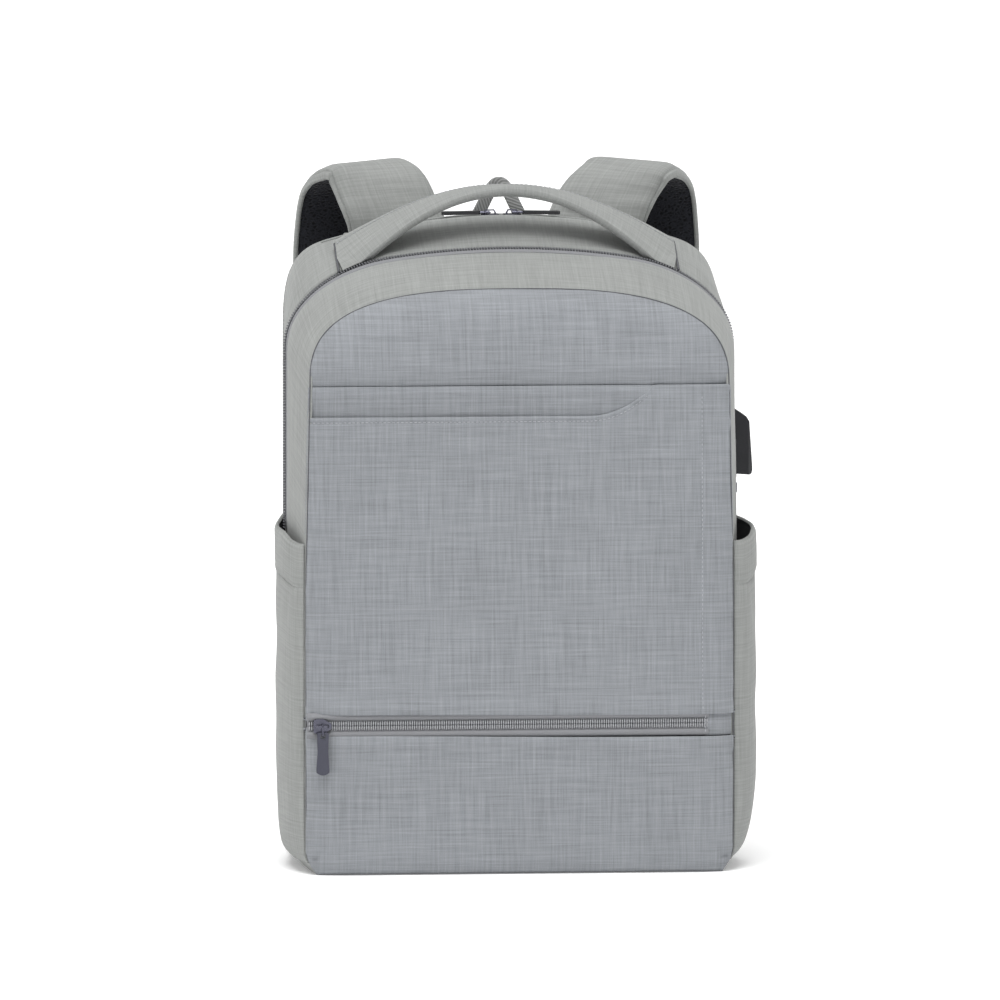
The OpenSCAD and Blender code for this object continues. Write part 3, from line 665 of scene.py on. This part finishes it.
rows = []
for z in list(np.linspace(238, 312, 10)) + list(np.linspace(316, 338, 20)) + [339.2, 340.2, 340.9, 341.3]:
    off = 2.9 - 2.8 * ramp(z, 320, 337) + 1.4 * ramp(z, 336.5, 341.3) ** 2
    rows.append([(x, face(x, min(z, LEDGE_Z)) + off - soft((x, z, 4), 40, 0.5, 7.0), z)
                 for x in (u * (seam_x(min(z, LEDGE_Z)) + 0.3) for u in across)])
for dy, z in ((0.8, 341.4), (2.4, 341.2)):
    rows.append([(p[0], p[1] + dy, z) for p in rows[-1]])
facing = panel("slip_pocket_facing", rows, 1.5, [FRONT, LINING], flat_uv=True)
place(facing, "front_flap", nodes=("pocket_facing",))

rows = []
for v in [0, 0.006, 0.014, 0.024] + list(np.linspace(0.036, 0.93, 58)) + list(np.linspace(0.94, 1.0, 12)):
    row = []
    for u in spread(130):
        x = u * SEAM_HALF * 0.997
        z = lerp(LEDGE_Z + 0.6, seam_z(x) - 0.2, v)
        q = ((abs(x) / SEAM_HALF) ** SEAM_POW + rise(z) ** SEAM_POW) ** (1 / SEAM_POW)
        edge = math.exp(-(1 - min(1, q)) / 0.035)
        y = face(x, z) - soft((x, z, 0), 70, 0.9, 3.0)
        y += 0.9 * edge * (0.55 + 0.45 * bumps((x, z, 0), 8, 4.0))
        y += 3.0 * math.exp(-(z - LEDGE_Z) / 3.6) - 0.7 * groove(z, LEDGE_Z + 13, 6)
        y += 0.7 * groove(x, 97, 5) * math.exp(-(z - LEDGE_Z) / 9)
        row.append((x, y, z))
    rows.append(row)
upper_front = panel("upper_front_cloth", rows, 1.8, [FRONT, LINING], flat_uv=True)
place(upper_front, "front_flap", nodes=("upper_front_panel",))

# ------------------------ the band between the main zip and the front seam
def zip_edge_y(x, z):
    return MAIN_ZIP_Y - lerp(7.3, 3.2, smooth(z, 392, 418))


zip_line = outline(MAIN_ZIP_Y, n_arch=22, n_corner=26, n_side=60, n_low=8)
out_n = path_normals(zip_line)
seam_line = []
for x, z in zip_line:
    if z >= CORNER_Z - 0.01:
        seam_line.append((x * SEAM_HALF / HALF_W, seam_z(x * SEAM_HALF / HALF_W)))
    else:
        sz = z * LEDGE_Z / CORNER_Z
        seam_line.append((math.copysign(seam_x(sz), x), sz))
seam_line = np.array(seam_line)
rows = []
BAND_STEPS = (0, 0.012, 0.04, 0.1, 0.18, 0.27, 0.36, 0.45, 0.54, 0.63, 0.72, 0.8, 0.87, 0.92, 0.955,
              0.98, 0.993, 1.0)
for k in BAND_STEPS:
    row = []
    for (x, z), (sx, sz), n in zip(zip_line, seam_line, out_n):
        y = lerp(zip_edge_y(x, z), seam_depth(sz) + 0.15, k)
        b = 2.4 * math.sin(math.pi * k ** 0.75)
        b = b - 0.6 * math.exp(-(1 - k) / 0.016) - 1.3 * math.exp(-k / 0.012)
        b -= 0.8 * math.exp(-k / 0.08)
        b += soft((x, y, z), 55, 0.9, 11.0) * math.sin(math.pi * k)
        b += 0.45 * math.exp(-(1 - k) / 0.08) * bumps((x, y, z), 9, 13.0)
        row.append((lerp(x, sx, k) + b * n[0], y, lerp(z, sz, k) + b * n[1]))
    rows.append(row)
place(panel("front_band_cloth", rows, 1.8, [BODY, LINING], flip=True), bend=FOLD,
      nodes=("flap_gusset", "side_panel_left", "side_panel_right"))

inset = shrink(seam_line, 0.25)
seam_path = np.array([(p[0], seam_depth(s[1]) - 0.1, p[1]) for p, s in zip(inset, seam_line) if s[1] > 9])
# a thin dark strand along the front seam stands for the shade in its groove: painted shade
place(strand("front_seam_shade", resample(seam_path, 3.0), 0.42, SEAM_SHADE), bend=FOLD)

# ------------------------ the lower pocket
rows = []
for a in np.linspace(0, math.pi / 2, 9):
    z = LOW_R * (1 - math.cos(a))
    rows.append([(x, face(x, z), z) for x in (u * seam_x(z) for u in across)])


def lower_surface(x, z):
    y = face(x, z) - soft((x, z, 0), 80, 0.8, 21.0) - near_edge(x, z)
    y -= 0.8 * math.exp(-((z - lower_fold(x) + 5) / 5) ** 2)
    for side in (-1, 1):
        dx, dz = (abs(x) - 140) * (1 if x * side > 0 else 99), z - 9
        y += 2.2 * math.exp(-((dz - 0.5 * dx) / 1.6) ** 2 - (dx / 7) ** 2) * ramp(z, 3, 6)
        y += 0.8 * math.exp(-((dz - 6 + 0.9 * dx) / 2.2) ** 2 - (dx / 6) ** 2)
    return y


for z in np.linspace(11, 88, 46):
    rows.append([(x, lower_surface(x, z), z) for x in (u * seam_x(z) for u in across)])
for t in np.linspace(0.15, 1, 9):
    rows.append([(x, lower_surface(x, lerp(88, lower_fold(x) - 0.6, t)), lerp(88, lower_fold(x) - 0.6, t))
                 for x in (u * seam_x(96) for u in across)])
for dz, dy in ((0.1, 0.3), (0.25, 1.1), (-0.3, 2.2), (-1.6, 3.0)):
    rows.append([(x, lower_surface(x, lower_fold(x) - 0.6) + dy, lower_fold(x) + dz)
                 for x in (u * seam_x(96) for u in across)])
lower_pocket = panel("lower_pocket_cloth", rows, 1.7, [FRONT, LINING], flat_uv=True)
place(lower_pocket, "bag", nodes=("lower_pocket_panel",))

tab_rows = [[(x, face(x, 105) + 0.7 + 0.9 * abs(z - 104.5) / 7 + (0.5 if x < 129.5 else 0), z)
             for x in np.linspace(128.6, 148.5, 14)] for z in np.linspace(96.5, 112, 12)]
zip_end = panel("zip_end_cloth", tab_rows, 1.5, [FRONT, LINING], flat_uv=True)
place(zip_end, "bag", nodes=("lower_zip_end_tab",))

# ------------------------ linings and the floor of the bag
rows = [[(u * 143, face(u * 143, max(z, 14)) + 10.2, z) for u in spread(40)]
        for z in np.linspace(22, 318, 30)]
place(panel("pocket_lining_cloth", rows, 1.2, [LINING]), bend=FOLD, nodes=("pocket_lining",))
rows = [[(x, y, 113.2) for x in np.linspace(-119, 119, 24)] for y in (-85, -83, -81, -79)]
place(panel("slip_pocket_base", rows, 1.2, [LINING]), "bag", nodes=("slip_pocket_floor",))
rows = [[(x, y, 0.4 + soft((x, y, 0), 60, 0.25, 31.0))
         for x in (u * lerp(141, 132, ramp(y, -78, 0)) for u in spread(30))]
        for y in spread(40, -77.6, 83.5)]
place(panel("base_cloth", rows, -2.0, [BODY, LINING], flip=True), "bag", nodes=("base_panel",))


def plate(name, pts, y0, t, mats, n_in=14, crown=0.0, seed=0.0):
    """An upright cloth-covered board; pts is its outline in x and z, from bottom left to bottom right."""
    pts = np.asarray(pts, float)
    mid_z = pts[:, 1].mean()
    steps = [1 - i / n_in for i in range(n_in)] + [0.02, 0.0012]
    grid = [[(x * k, y0 + crown * (1 - k ** 6) + soft((x * k, z, 0), 50, 0.4, seed),
              mid_z + (z - mid_z) * k) for x, z in np.concatenate([pts, pts[:1]])] for k in steps]
    return panel(name, grid, t, mats, flat_uv=True)


back_line = shrink(outline(84, n_arch=10, n_corner=12, n_side=20, n_low=6), 0.6)
back = plate("back_cloth", back_line, 85.6, 2.4, [BODY, LINING], crown=1.8, seed=41)
place(back, "bag", nodes=("back_panel",))
div_line = shrink(outline(54, n_arch=10, n_corner=12, n_side=20, n_low=6), 4.0)
div_line = np.array([(x, max(z, 3.4)) for x, z in div_line])
place(plate("laptop_divider_pad", div_line, 56.5, 4.6, [LINING], crown=0.6, seed=43), "bag",
      nodes=("laptop_divider",))

# ------------------------ the band behind the main zip, with the laptop slot
SLOT, SLOT_HALF = (TOP_ZIP_Y - 6.2, TOP_ZIP_Y + 6.2), 101
rear_line = outline(40, n_arch=26, n_corner=22, n_side=46, n_low=8)
n_cols = len(rear_line)


def rear_rows():
    ys = [0, 0.5, 1.3, 3, 7, 12, 18, 25, 32, 38, 43, 46, 47.4]
    front = 10.4
    fixed = [front + v for v in ys] + [SLOT[0] - 0.3, SLOT[0], TOP_ZIP_Y, SLOT[1], SLOT[1] + 0.3]
    fixed += [74.5, 78, 81.5, 84.4, 86.2]
    out = []
    for j, y in enumerate(fixed):
        line = outline(min(y, 84), n_arch=26, n_corner=22, n_side=46, n_low=8)
        n = path_normals(line)
        row = []
        for (x, z), nn in zip(line, n):
            low = 1 - smooth(z, 224, 232)
            yy = lerp(y, lerp(-2.4, 59, ramp(y, front, 59)), low) if y < 59 else y
            d = soft((x, yy, z), 60, 0.8, 51.0) * min(1, j / 4)
            d -= 1.1 * math.exp(-(yy - front) / 0.8) if low < 0.5 else 0.0
            d -= 0.7 * groove(yy, front + 7, 1.0) * (1 - low)
            d += 0.5 * groove(y, 24, 8) - 1.6 * max(0.0, (yy - 84) / 2.2) ** 2
            row.append((x + nn[0] * d, yy, z + nn[1] * d))
        out.append(row)
    return out, fixed


rows, fixed = rear_rows()
slot_r = (fixed.index(SLOT[0]), fixed.index(SLOT[1]) - 1)
xs_mid = [(rows[0][c][0] + rows[0][c + 1][0]) / 2 for c in range(n_cols - 1)]


def outside_slot(r, c):
    """Whether a face of the band is cloth, and not part of the laptop zip's slot."""
    return not (slot_r[0] <= r <= slot_r[1] and abs(xs_mid[c]) < SLOT_HALF and rows[0][c][2] > 300)


place(panel("rear_band_cloth", rows, 1.8, [BODY, LINING], keep=outside_slot),
      "bag", nodes=("rear_gusset",))
rim = [(x, 86.4, z) for x, z in shrink(outline(84, n_arch=20, n_corner=20, n_side=20, n_low=6), 0.4)]
place(strand("back_piping", resample(rim, 4.0), 1.5, WEB), "bag")

# ------------------------ zips
def coil(name, path, normals, side, pitch, half, mat):
    p = resample(path, pitch)
    src = np.asarray(path, float)
    near = np.linalg.norm(p[:, None, :] - src[None, :, :], axis=2).argmin(1)
    n = np.asarray(normals, float)[near]
    T, S, N = frames_along(p, np.cross(n, np.gradient(p, axis=0)))
    return beads(name, p + side * S * half[0], S, N, T, half, mat)


zipped = zip_line[:, 1] >= FOLD_Z + 1
run, run_n = zip_line[zipped], out_n[zipped]
for side, label, bend in ((-1, "front", FOLD), (1, "rear", None)):
    cols = []
    for y, dip in ((0.4, 0.7), (2.6, 0.5), (3.4, -0.3), (5.6, -0.5), (9.0, 0.9)):
        cols.append([(x - n[0] * dip, MAIN_ZIP_Y + side * y, z - n[1] * dip)
                     for (x, z), n in zip(run, run_n)])
    tape = panel("main_tape_" + label, cols, 0.7, [TAPE], flip=(side < 0), turn_uv=True)
    mid_row = [(x + n[0] * 0.9, MAIN_ZIP_Y, z + n[1] * 0.9) for (x, z), n in zip(run, run_n)]
    # main zip teeth in the darkened coil colour: painted shade of the recess
    teeth = coil("main_coil_" + label, mid_row, [(n[0], 0, n[1]) for n in run_n], side, 2.0,
                 (1.8, 1.3, 0.62), COIL_SHADED)
    for o in (tape, teeth):
        nodes = ("main_zip_%s_tape" % label,) if o is tape else ()
        place(o, None if bend else "bag", bend, nodes)

angles = np.linspace(-103.6 / TOP_RAD, 103.6 / TOP_RAD, 70)
top_arc = [(TOP_RAD * math.sin(a), TOP_ZIP_Y, BODY_H - TOP_RAD + TOP_RAD * math.cos(a)) for a in angles]
arc_n = [(math.sin(a), 0, math.cos(a)) for a in angles]
for side, label in ((-1, "front"), (1, "rear")):
    cols = [[(p[0] - n[0] * dip, TOP_ZIP_Y + side * y, p[2] - n[2] * dip) for p, n in zip(top_arc, arc_n)]
            for y, dip in ((0.7, 2.2), (2.6, 2.0), (4.5, 1.6), (7.4, 1.0))]
    tape = panel("laptop_tape_" + label, cols, 0.7, [TAPE], flip=(side < 0), turn_uv=True)
    place(tape, "bag", nodes=("laptop_zip_%s_tape" % label,))
    line = [(p[0] - n[0] * 1.5, TOP_ZIP_Y, p[2] - n[2] * 1.5) for p, n in zip(top_arc, arc_n)]
    # laptop zip teeth in the same darkened coil colour: painted shade
    place(coil("laptop_coil_" + label, line, arc_n, side, 1.9, (1.5, 1.2, 0.66), COIL_SHADED), "bag")

for side, label in ((-1, "bottom"), (1, "top")):
    cols = [[(x, -HALF_D + dip, LOW_ZIP_Z + side * z) for x in np.linspace(-149.5, 131.5, 60)]
            for z, dip in ((0.4, 3.2), (4.1, 2.8), (4.7, 1.8), (5.6, 0.9), (6.9, 1.3), (8.4, 3.4))]
    tape = panel("lower_tape_" + label, cols, 0.7, [TAPE], flip=(side > 0), turn_uv=True)
    place(tape, "bag", nodes=("lower_zip_%s_tape" % label,))
    line = [(x, -HALF_D + 1.6, LOW_ZIP_Z + side * 0.45) for x in np.linspace(-148, 130.5, 30)]
    place(coil("lower_coil_" + label, line, [(0, -1, 0)] * 30, -side, 1.6, (1.95, 1.25, 0.55), COIL_LIGHT),
          "bag")

# ------------------------ side pockets
POCKET_Y0, POCKET_Y1, POCKET_Z0 = -75.5, 60.0, 8.0
POCKET_BULGE = {-1: 8.2, 1: 13.5}
LOW_CORNER_R = 17.0


def side_x(y):
    if y > MAIN_ZIP_Y:
        return hw_at(y)
    k = ramp(-y, -MAIN_ZIP_Y, -SEAM_Y)
    return HALF_W - (HALF_W - SEAM_LOW_HALF) * k + 2.5 * math.sin(math.pi * k)


def mouth(y):
    return 230.5 + 7 * smooth(y, -76, -40) + 4 * ramp(y, -40, 60)


def pocket_point(u, v, side, hem):
    y = lerp(POCKET_Y0, POCKET_Y1, u)
    z = lerp(POCKET_Z0, mouth(y), v)
    edge = max(0.0, 1 - abs(2 * u - 1) ** 5) ** 0.6 * (1 - 0.62 * smooth(y, -30, 52))
    belly = max(0.0, 1 - (1 - ramp(v, 0, 0.27)) ** 2) ** 0.85
    rounding = LOW_CORNER_R - math.sqrt(LOW_CORNER_R ** 2 - max(0.0, LOW_CORNER_R - z) ** 2)
    bulge = POCKET_BULGE[side] * edge * belly * lerp(1.0, 0.9, smooth(v, 0.6, 1.0))
    x = side_x(y) + 0.8 - rounding + bulge
    x += edge * (soft((y, z, side * 7), 46, 1.6, 61.0) + soft((y, z * 0.6, side * 3), 20, 0.6, 63.0))
    fold = z - (mouth(y) - 29 + 7 * smooth(y, -40, 40))
    x -= 0.9 * edge * math.exp(-(fold / 1.4) ** 2)
    x -= 1.1 * edge * math.exp(-((y + 58 + 0.25 * (z - 190)) / 5) ** 2) * smooth(z, 150, 200)
    x += 1.4 * hem * edge
    return side * x, y, z


for side, label in ((-1, "left"), (1, "right")):
    us = spread(56, 0, 1)
    rows = [[pocket_point(u, v, side, 0) for u in us] for v in np.linspace(0, 0.868, 72)]
    place(panel("side_pocket_cloth_" + label, rows, 1.8, [BODY, LINING], flip=(side < 0)),
          "bag", nodes=("side_pocket_" + label,))
    vs = list(np.linspace(0.866, 0.985, 20)) + [0.99, 0.994, 0.997, 1.0]
    hems = [0.3 + 0.7 * smooth(v, 0.866, 0.878) - 0.8 * smooth(v, 0.99, 1.0) for v in vs]
    rows = [[pocket_point(u, v, side, hem) for u in us] for v, hem in zip(vs, hems)]
    place(panel("pocket_hem_cloth_" + label, rows, 2.6, [BODY, LINING], flip=(side < 0)),
          "bag", nodes=("pocket_hem_" + label,))

# ------------------------ carrying handle
HANDLE_HALF = 119
HANDLE_STITCH = 0.7
TOP_POINTS, UNDER_POINTS = 40, 24


def handle_z(x):
    return 421 + 49.6 * max(0.0, 1 - (x / HANDLE_HALF) ** 2) ** 1.1


def handle_point(x, a, v):
    """A point of the handle: a runs across it from -1 to 1, v through it from -1 to 1."""
    g = abs(x) / HANDLE_HALF
    d = np.array([1.0, handle_z(x + 0.5) - handle_z(x - 0.5)])
    d /= np.linalg.norm(d)
    tilt = math.radians(29 * (abs(x) / 106) ** 1.2)
    half = 13.5 + 7.5 * g ** 2.0
    thick = 4.0 * v * (1 - abs(a) ** 5 * 0.5)
    up = thick * math.cos(tilt) + a * half * math.sin(tilt)
    p = [x - d[1] * up,
         28 - 4.0 * g * g + a * half * math.cos(tilt) - thick * math.sin(tilt),
         handle_z(x) + d[0] * up]
    p[0] = max(-119.5, min(119.5, p[0]))
    ground = top_z(p[0], max(6.0, min(p[1], 84))) + 0.5 + (2.6 if v > 0 else 0.0) * (1 - abs(a) ** 6 * 0.7)
    p[2] = max(p[2], ground)
    return p


sec = []
for i in range(TOP_POINTS):
    a = -1 + 2 * i / (TOP_POINTS - 1)
    sec.append((a, 1.0 - 0.3 * groove(a, HANDLE_STITCH, 0.05)))
for i in range(UNDER_POINTS):
    a = 1 - 2 * i / (UNDER_POINTS - 1)
    sec.append((a, -1.0))
xs = [HANDLE_HALF * math.sin(math.pi / 2 * k) for k in np.linspace(-1, 1, 110)]
V, faces, uv = [], [], []
m = len(sec)
for r, x in enumerate(xs):
    for i, (a, v) in enumerate(sec):
        q = handle_point(x, a, v)
        lump = soft(q, 22, 0.5, 71.0) * (1 if v < 0 else 0.5)
        V.append((q[0], q[1], q[2] + lump))
        uv.append((a * 14 if i < TOP_POINTS else a * 14 + 40, x * 1.1))
for r in range(len(xs) - 1):
    for i in range(m):
        j = (i + 1) % m
        faces.append([r * m + i, r * m + j, (r + 1) * m + j, (r + 1) * m + i])
for r, rev in ((0, True), (len(xs) - 1, False)):
    ring_ids = [r * m + i for i in range(m)]
    faces.append(ring_ids[::-1] if rev else ring_ids)
grip = finish_mesh("handle_padding", V, faces, [BODY], uv)
place(grip, bend=SWING, nodes=("handle_grip", "handle_end_left", "handle_end_right"))
pts = [handle_point(x, HANDLE_STITCH, 1.0) for x in np.linspace(-114, 114, 90)]
nrm = np.tile((0, -math.sin(math.radians(20)), 1.0), (len(pts), 1))
place(stitches("handle_stitches", [(pts, nrm, 3.4, -0.12)], THREAD), bend=SWING)
for side in (-1, 1):
    pts = [handle_point(side * HANDLE_HALF, a, 1.0) for a in np.linspace(-1, 1, 14)]
    pts = [(side * (HANDLE_HALF + 0.6), p[1], p[2] - 1.4) for p in pts]
    end_name = "handle_end_seam_shade_" + ("left" if side < 0 else "right")
    # a dark strand across each handle end stands for the shade in the end seam: painted shade
    place(strand(end_name, pts, 0.9, SEAM_SHADE, hint=(1, 0, 0)), "bag")

# ------------------------ hanging loop
loop_pts = curve_through([(-15.5, 82.4, 448), (-11, 82.2, 457), (-6.5, 81.9, 466), (-3, 81.8, 470.6),
                          (0, 81.6, 471.6), (3, 81.8, 470.6), (6.5, 82, 466), (11, 82.2, 457),
                          (15.5, 82.4, 448)], 60)
T, S, N = frames_along(loop_pts, (0, 1, 0))
twist = [0.25 * math.sin(2 * math.pi * i / 59) for i in range(60)]
loop_sec = ring(1.3, 4.6, 20, 4)
loop_obj = sweep("hang_loop_web", loop_pts, S, N, lambda i: [
    (c * math.cos(twist[i]) - s_ * math.sin(twist[i]), c * math.sin(twist[i]) + s_ * math.cos(twist[i]))
    for c, s_ in loop_sec], [WEB])
place(loop_obj, "bag", nodes=("hang_loop",))

# ------------------------ shoulder straps
# points of a strap's middle line, x, y and z, and its width as a share of the full width
STRAP = [(68, 92, 408, 1.0), (69, 95, 426, 1.0), (70, 98, 440, 1), (73, 101, 450, 1),
         (77, 105, 459, 1), (81, 109, 467, 1), (85.5, 114, 474, 1), (90, 120, 478.5, 1),
         (94, 127, 480, 1), (97, 134, 478, 1), (99, 140, 472, 1), (101, 145, 462, 1),
         (103, 149, 446, 1), (104.5, 152, 420, 1), (105, 153.5, 385, 0.98), (105, 153, 340, 0.94),
         (104.5, 149, 290, 0.88), (103.5, 143, 240, 0.82), (102, 135, 195, 0.76),
         (101, 126.5, 150, 0.72)]
STRAP_W, WEB_X = 68, 101
PAD_HALF, PAD_X, PAD_Z = (49, 159.5), 70, 241.5
for side, label in ((-1, "left"), (1, "right")):
    curve = curve_through(STRAP, 190)
    path = curve[:, :3] * np.array([side, 1, 1])
    crest_shift, fall_shift = (4.5, 9.5) if side > 0 else (4.0, -0.5)
    for p in path:
        # both straps are moved a little along x, the falling part of the right one most
        if p[1] < 148 and p[2] > 330:
            drift = lerp(0, crest_shift, smooth(p[1], 100, 122))
            p[0] += drift + (fall_shift - crest_shift) * smooth(p[1], 128, 147)
        else:
            p[0] += fall_shift * smooth(p[2], 200, 330)
    width = curve[:, 3] * STRAP_W
    T, S, N = frames_along(path, (1, 0, 0))
    N = -N
    for i, p in enumerate(path):
        # over the top the strap lies level, a little lower at its outer edge
        S[i][2] = lerp(S[i][2], -0.05 * side, smooth(p[2], 405, 445))
        S[i] /= np.linalg.norm(S[i])
        N[i] -= S[i] * float(np.dot(N[i], S[i]))
        N[i] /= np.linalg.norm(N[i])
    n_sec = 28

    def strap_section(i):
        w = width[i] / 2 - 1.2
        s_at = i / (len(path) - 1)
        pts = []
        for k in range(n_sec):
            a = -1 + 2 * k / (n_sec - 1)
            p = path[i] + S[i] * a * w
            crown = 4.9 * (1 - abs(a) ** 10 * 0.6)
            crease = math.exp(-((s_at - 0.06 - 0.03 * a * side) / 0.012) ** 2) + \
                math.exp(-((s_at - 0.11 + 0.05 * a * side) / 0.009) ** 2)
            crown += soft(p, 34, 0.45, 81.0 + side) - 0.9 * crease * (1 - abs(a) ** 4)
            pts.append((a * w, crown))
        for k in range(n_sec):
            a = 1 - 2 * k / (n_sec - 1)
            pts.append((a * w, -4.4 + 0.8 * abs(a) ** 6))
        return pts

    cushion = sweep("strap_cushion_" + label, path, S, N, strap_section, [BODY, MESH],
                    mat_of=lambda c: 1 if n_sec <= c < 2 * n_sec - 1 else 0)
    bend = ("bag", label + "_strap", (side * 0.07, 0.0905, 0.43), (side * 0.07, 0.103, 0.43))
    place(cushion, bend=bend, nodes=("strap_pad_" + label, "strap_mesh_" + label))
    for e, part in ((-1, "inner"), (1, "outer")):
        k0 = 8  # the first stations lie under the anchor and have no binding
        edge_path = path[k0:] + S[k0:] * (width[k0:, None] / 2 - 0.9) * e * side + N[k0:] * -2.6
        bind_ring = ring(1.8, 3.0, 16, 3.0)
        binding = sweep("strap_binding_%s_%s" % (part, label), edge_path, S[k0:], N[k0:], bind_ring, [BODY])
        place(binding, bend=bend)
    anchor_line = ((88.0, 404.5), (89.9, 404.9), (90.3, 412), (90.3, 424), (90.2, 432), (89.8, 436.3),
                   (88.2, 436.8))
    rows = [[(side * 73 + x, y, z) for x in np.linspace(-35.5, 35.5, 16)] for y, z in anchor_line]
    place(panel("strap_anchor_cloth_" + label, rows, 1.6, [BODY], flip=True), "bag",
          nodes=("strap_anchor_" + label,))
    tail_line = ((127.2, 158), (126, 150), (125.6, 143), (124.2, 138.5), (125.3, 134), (126.0, 127),
                 (125.9, 120), (125.6, 95), (125.4, 70), (125.4, 62.5))
    web = curve_through([(side * WEB_X, y, z) for y, z in tail_line], 70)
    T, S, N = frames_along(web, (1, 0, 0))
    place(sweep("strap_web_" + label, web, S, N, ring(12.4, 0.85, 20, 6), [WEB]), label + "_strap",
          nodes=("strap_tail_" + label,))
    low_line = ((89.2, 30.5), (89.4, 40), (91.2, 51), (100, 71.5), (111, 97), (121.7, 122.6))
    low = curve_through([(side * WEB_X, y, z) for y, z in low_line], 60)
    T, S, N = frames_along(low, (1, 0, 0))
    place(sweep("lower_web_" + label, low, S, N, ring(12.4, 0.9, 20, 6), [WEB]),
          bend=("bag", label + "_strap", (side * 0.101, 0.092, 0.055), (side * 0.101, 0.119, 0.117)),
          nodes=("lower_webbing_" + label,))

    # back pads: two channelled air-mesh cushions
    us, vs = spread(36), np.linspace(-1, 1, 120)
    rows = []
    for v in vs:
        row = []
        for u in us:
            x, z = u * PAD_HALF[0] * (1 - 0.10 * max(0.0, abs(v) - 0.86) / 0.14), v * PAD_HALF[1]
            h = 10.2 * max(0.0, 1 - abs(u) ** 9) ** 0.5 * max(0.0, 1 - abs(v) ** 30) ** 0.5
            h -= 3.4 * sum(groove(z, c, 3.2) for c in (-96, -32, 32, 96)) * (1 - abs(u) ** 6)
            row.append((side * PAD_X + x, 88.0 + max(0.0, h), PAD_Z + z))
        rows.append(row)
    rows = [[(p[0], 87.9, p[2]) for p in rows[0]]] + rows + [[(p[0], 87.9, p[2]) for p in rows[-1]]]
    place(panel("back_pad_cushion_" + label, rows, 0.9, [MESH], flip=True), "bag",
          nodes=("back_pad_" + label,))

# ------------------------ stitching
UP_FRONT = (0, -1, 0)


def on_pocket(x, z):
    return (x, pocket_surface(x, z, mouth_top(x)), z)


side_run = [on_pocket(SIDE_STITCH_X, z) for z in np.linspace(334, 114, 120)]
mouth_run = [on_pocket(x, mouth_top(x) - 3.6) for x in np.linspace(-145.5, 90, 150)]
front_runs = [(side_run, UP_FRONT, 3.3, 0.15), (mouth_run, UP_FRONT, 3.1, 0.15)]
place(stitches("front_stitches", front_runs, THREAD), bend=FOLD)
end_run = [(129.4, face(129, 105) - 0.1, z) for z in np.linspace(98.5, 110.5, 12)]
place(stitches("zip_end_stitches", [(end_run, UP_FRONT, 2.6, 0.1)], THREAD), "bag")

# ------------------------ finishes of the hard parts
FINISH = {
    "lower_slider": METAL, "lower_pull_ring": METAL, "lower_pull_tab": PULL,
    "laptop_slider_left": METAL, "laptop_slider_right": METAL, "laptop_pull_loop_left": METAL,
    "laptop_pull_loop_right": METAL, "laptop_pull_tab_left": PULL_DARK, "laptop_pull_tab_right": PULL_DARK,
    "main_slider": METAL, "main_pull_loop": METAL, "main_pull_tab": PULL_DARK,
    "usb_housing": PORT, "usb_lead_gland": PORT, "usb_socket_shell": SOCKET, "usb_tongue": TONGUE,
    "ladder_lock_left": LOCK, "ladder_lock_right": LOCK}
for node_name, mat in FINISH.items():
    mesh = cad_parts[node_name].data
    mesh.materials.clear()
    mesh.materials.append(mat)

# ------------------------ studio
WHITE = material("studio_white", (0.92, 0.92, 0.92), 0.9, 0, 0.1)
WHITE.node_tree.nodes["Principled BSDF"].inputs["Emission Color"].default_value = (1, 1, 1, 1)
WHITE.node_tree.nodes["Principled BSDF"].inputs["Emission Strength"].default_value = 0.16


def studio_plane(name, half_x, y0, y1, z):
    verts = [(-half_x, y0, z), (half_x, y0, z), (half_x, y1, z), (-half_x, y1, z)]
    obj = finish_mesh(name, np.array(verts), [[0, 1, 2, 3]], [WHITE], smooth_it=False)
    return obj


studio_plane("studio_floor", 60000, -30000, 90000, -0.2)


def lamp(name, loc, aim, size, power):
    data = bpy.data.lights.new(name, "AREA")
    data.shape = "RECTANGLE"
    data.size, data.size_y = size
    data.energy = power
    obj = bpy.data.objects.new(name, data)
    obj.location = Vector(loc)
    obj.rotation_euler = (Vector(aim) - Vector(loc)).to_track_quat("-Z", "Y").to_euler()
    bpy.context.scene.collection.objects.link(obj)


sun = bpy.data.lights.new("key", "SUN")
sun.energy, sun.angle = 2.5, math.radians(40)
key = bpy.data.objects.new("key", sun)
key.rotation_euler = Vector((0.09, 0.34, -0.93)).to_track_quat("-Z", "Y").to_euler()
bpy.context.scene.collection.objects.link(key)
lamp("fill", (-1.6, -2.6, 0.9), (0, 0, 0.2), (1.2, 1.6), 6)

# the sky is brighter overhead than near the horizon, so that the light has a direction
world = bpy.data.worlds.new("studio")
world.use_nodes = True
tree = world.node_tree
where = tree.nodes.new("ShaderNodeTexCoord")
parts = tree.nodes.new("ShaderNodeSeparateXYZ")
high = tree.nodes.new("ShaderNodeMapRange")
high.inputs["From Min"].default_value = 0.05
high.inputs["From Max"].default_value = 0.9
high.inputs["To Min"].default_value = 0.3
high.inputs["To Max"].default_value = 0.85
tree.links.new(where.outputs["Generated"], parts.inputs[0])
tree.links.new(parts.outputs[2], high.inputs["Value"])
tree.links.new(high.outputs["Result"], tree.nodes["Background"].inputs["Strength"])
tree.nodes["Background"].inputs["Color"].default_value = (1, 1, 1, 1)
bpy.context.scene.world = world
bpy.context.scene.view_settings.view_transform = "Standard"

cam_data = bpy.data.cameras.new("camera")
cam_data.lens, cam_data.sensor_width = 723.1, 36
cam_data.clip_end = 80
cam = bpy.data.objects.new("camera", cam_data)
aim = Vector((-14.7, -87.5, 262.4)) * MM
az, el, dist = math.radians(-5.25), math.radians(5), 14.0
cam.location = aim + dist * Vector((math.sin(az) * math.cos(el), -math.cos(az) * math.cos(el), math.sin(el)))
cam.rotation_euler = (aim - cam.location).to_track_quat("-Z", "Y").to_euler()
bpy.context.scene.collection.objects.link(cam)
bpy.context.scene.camera = cam
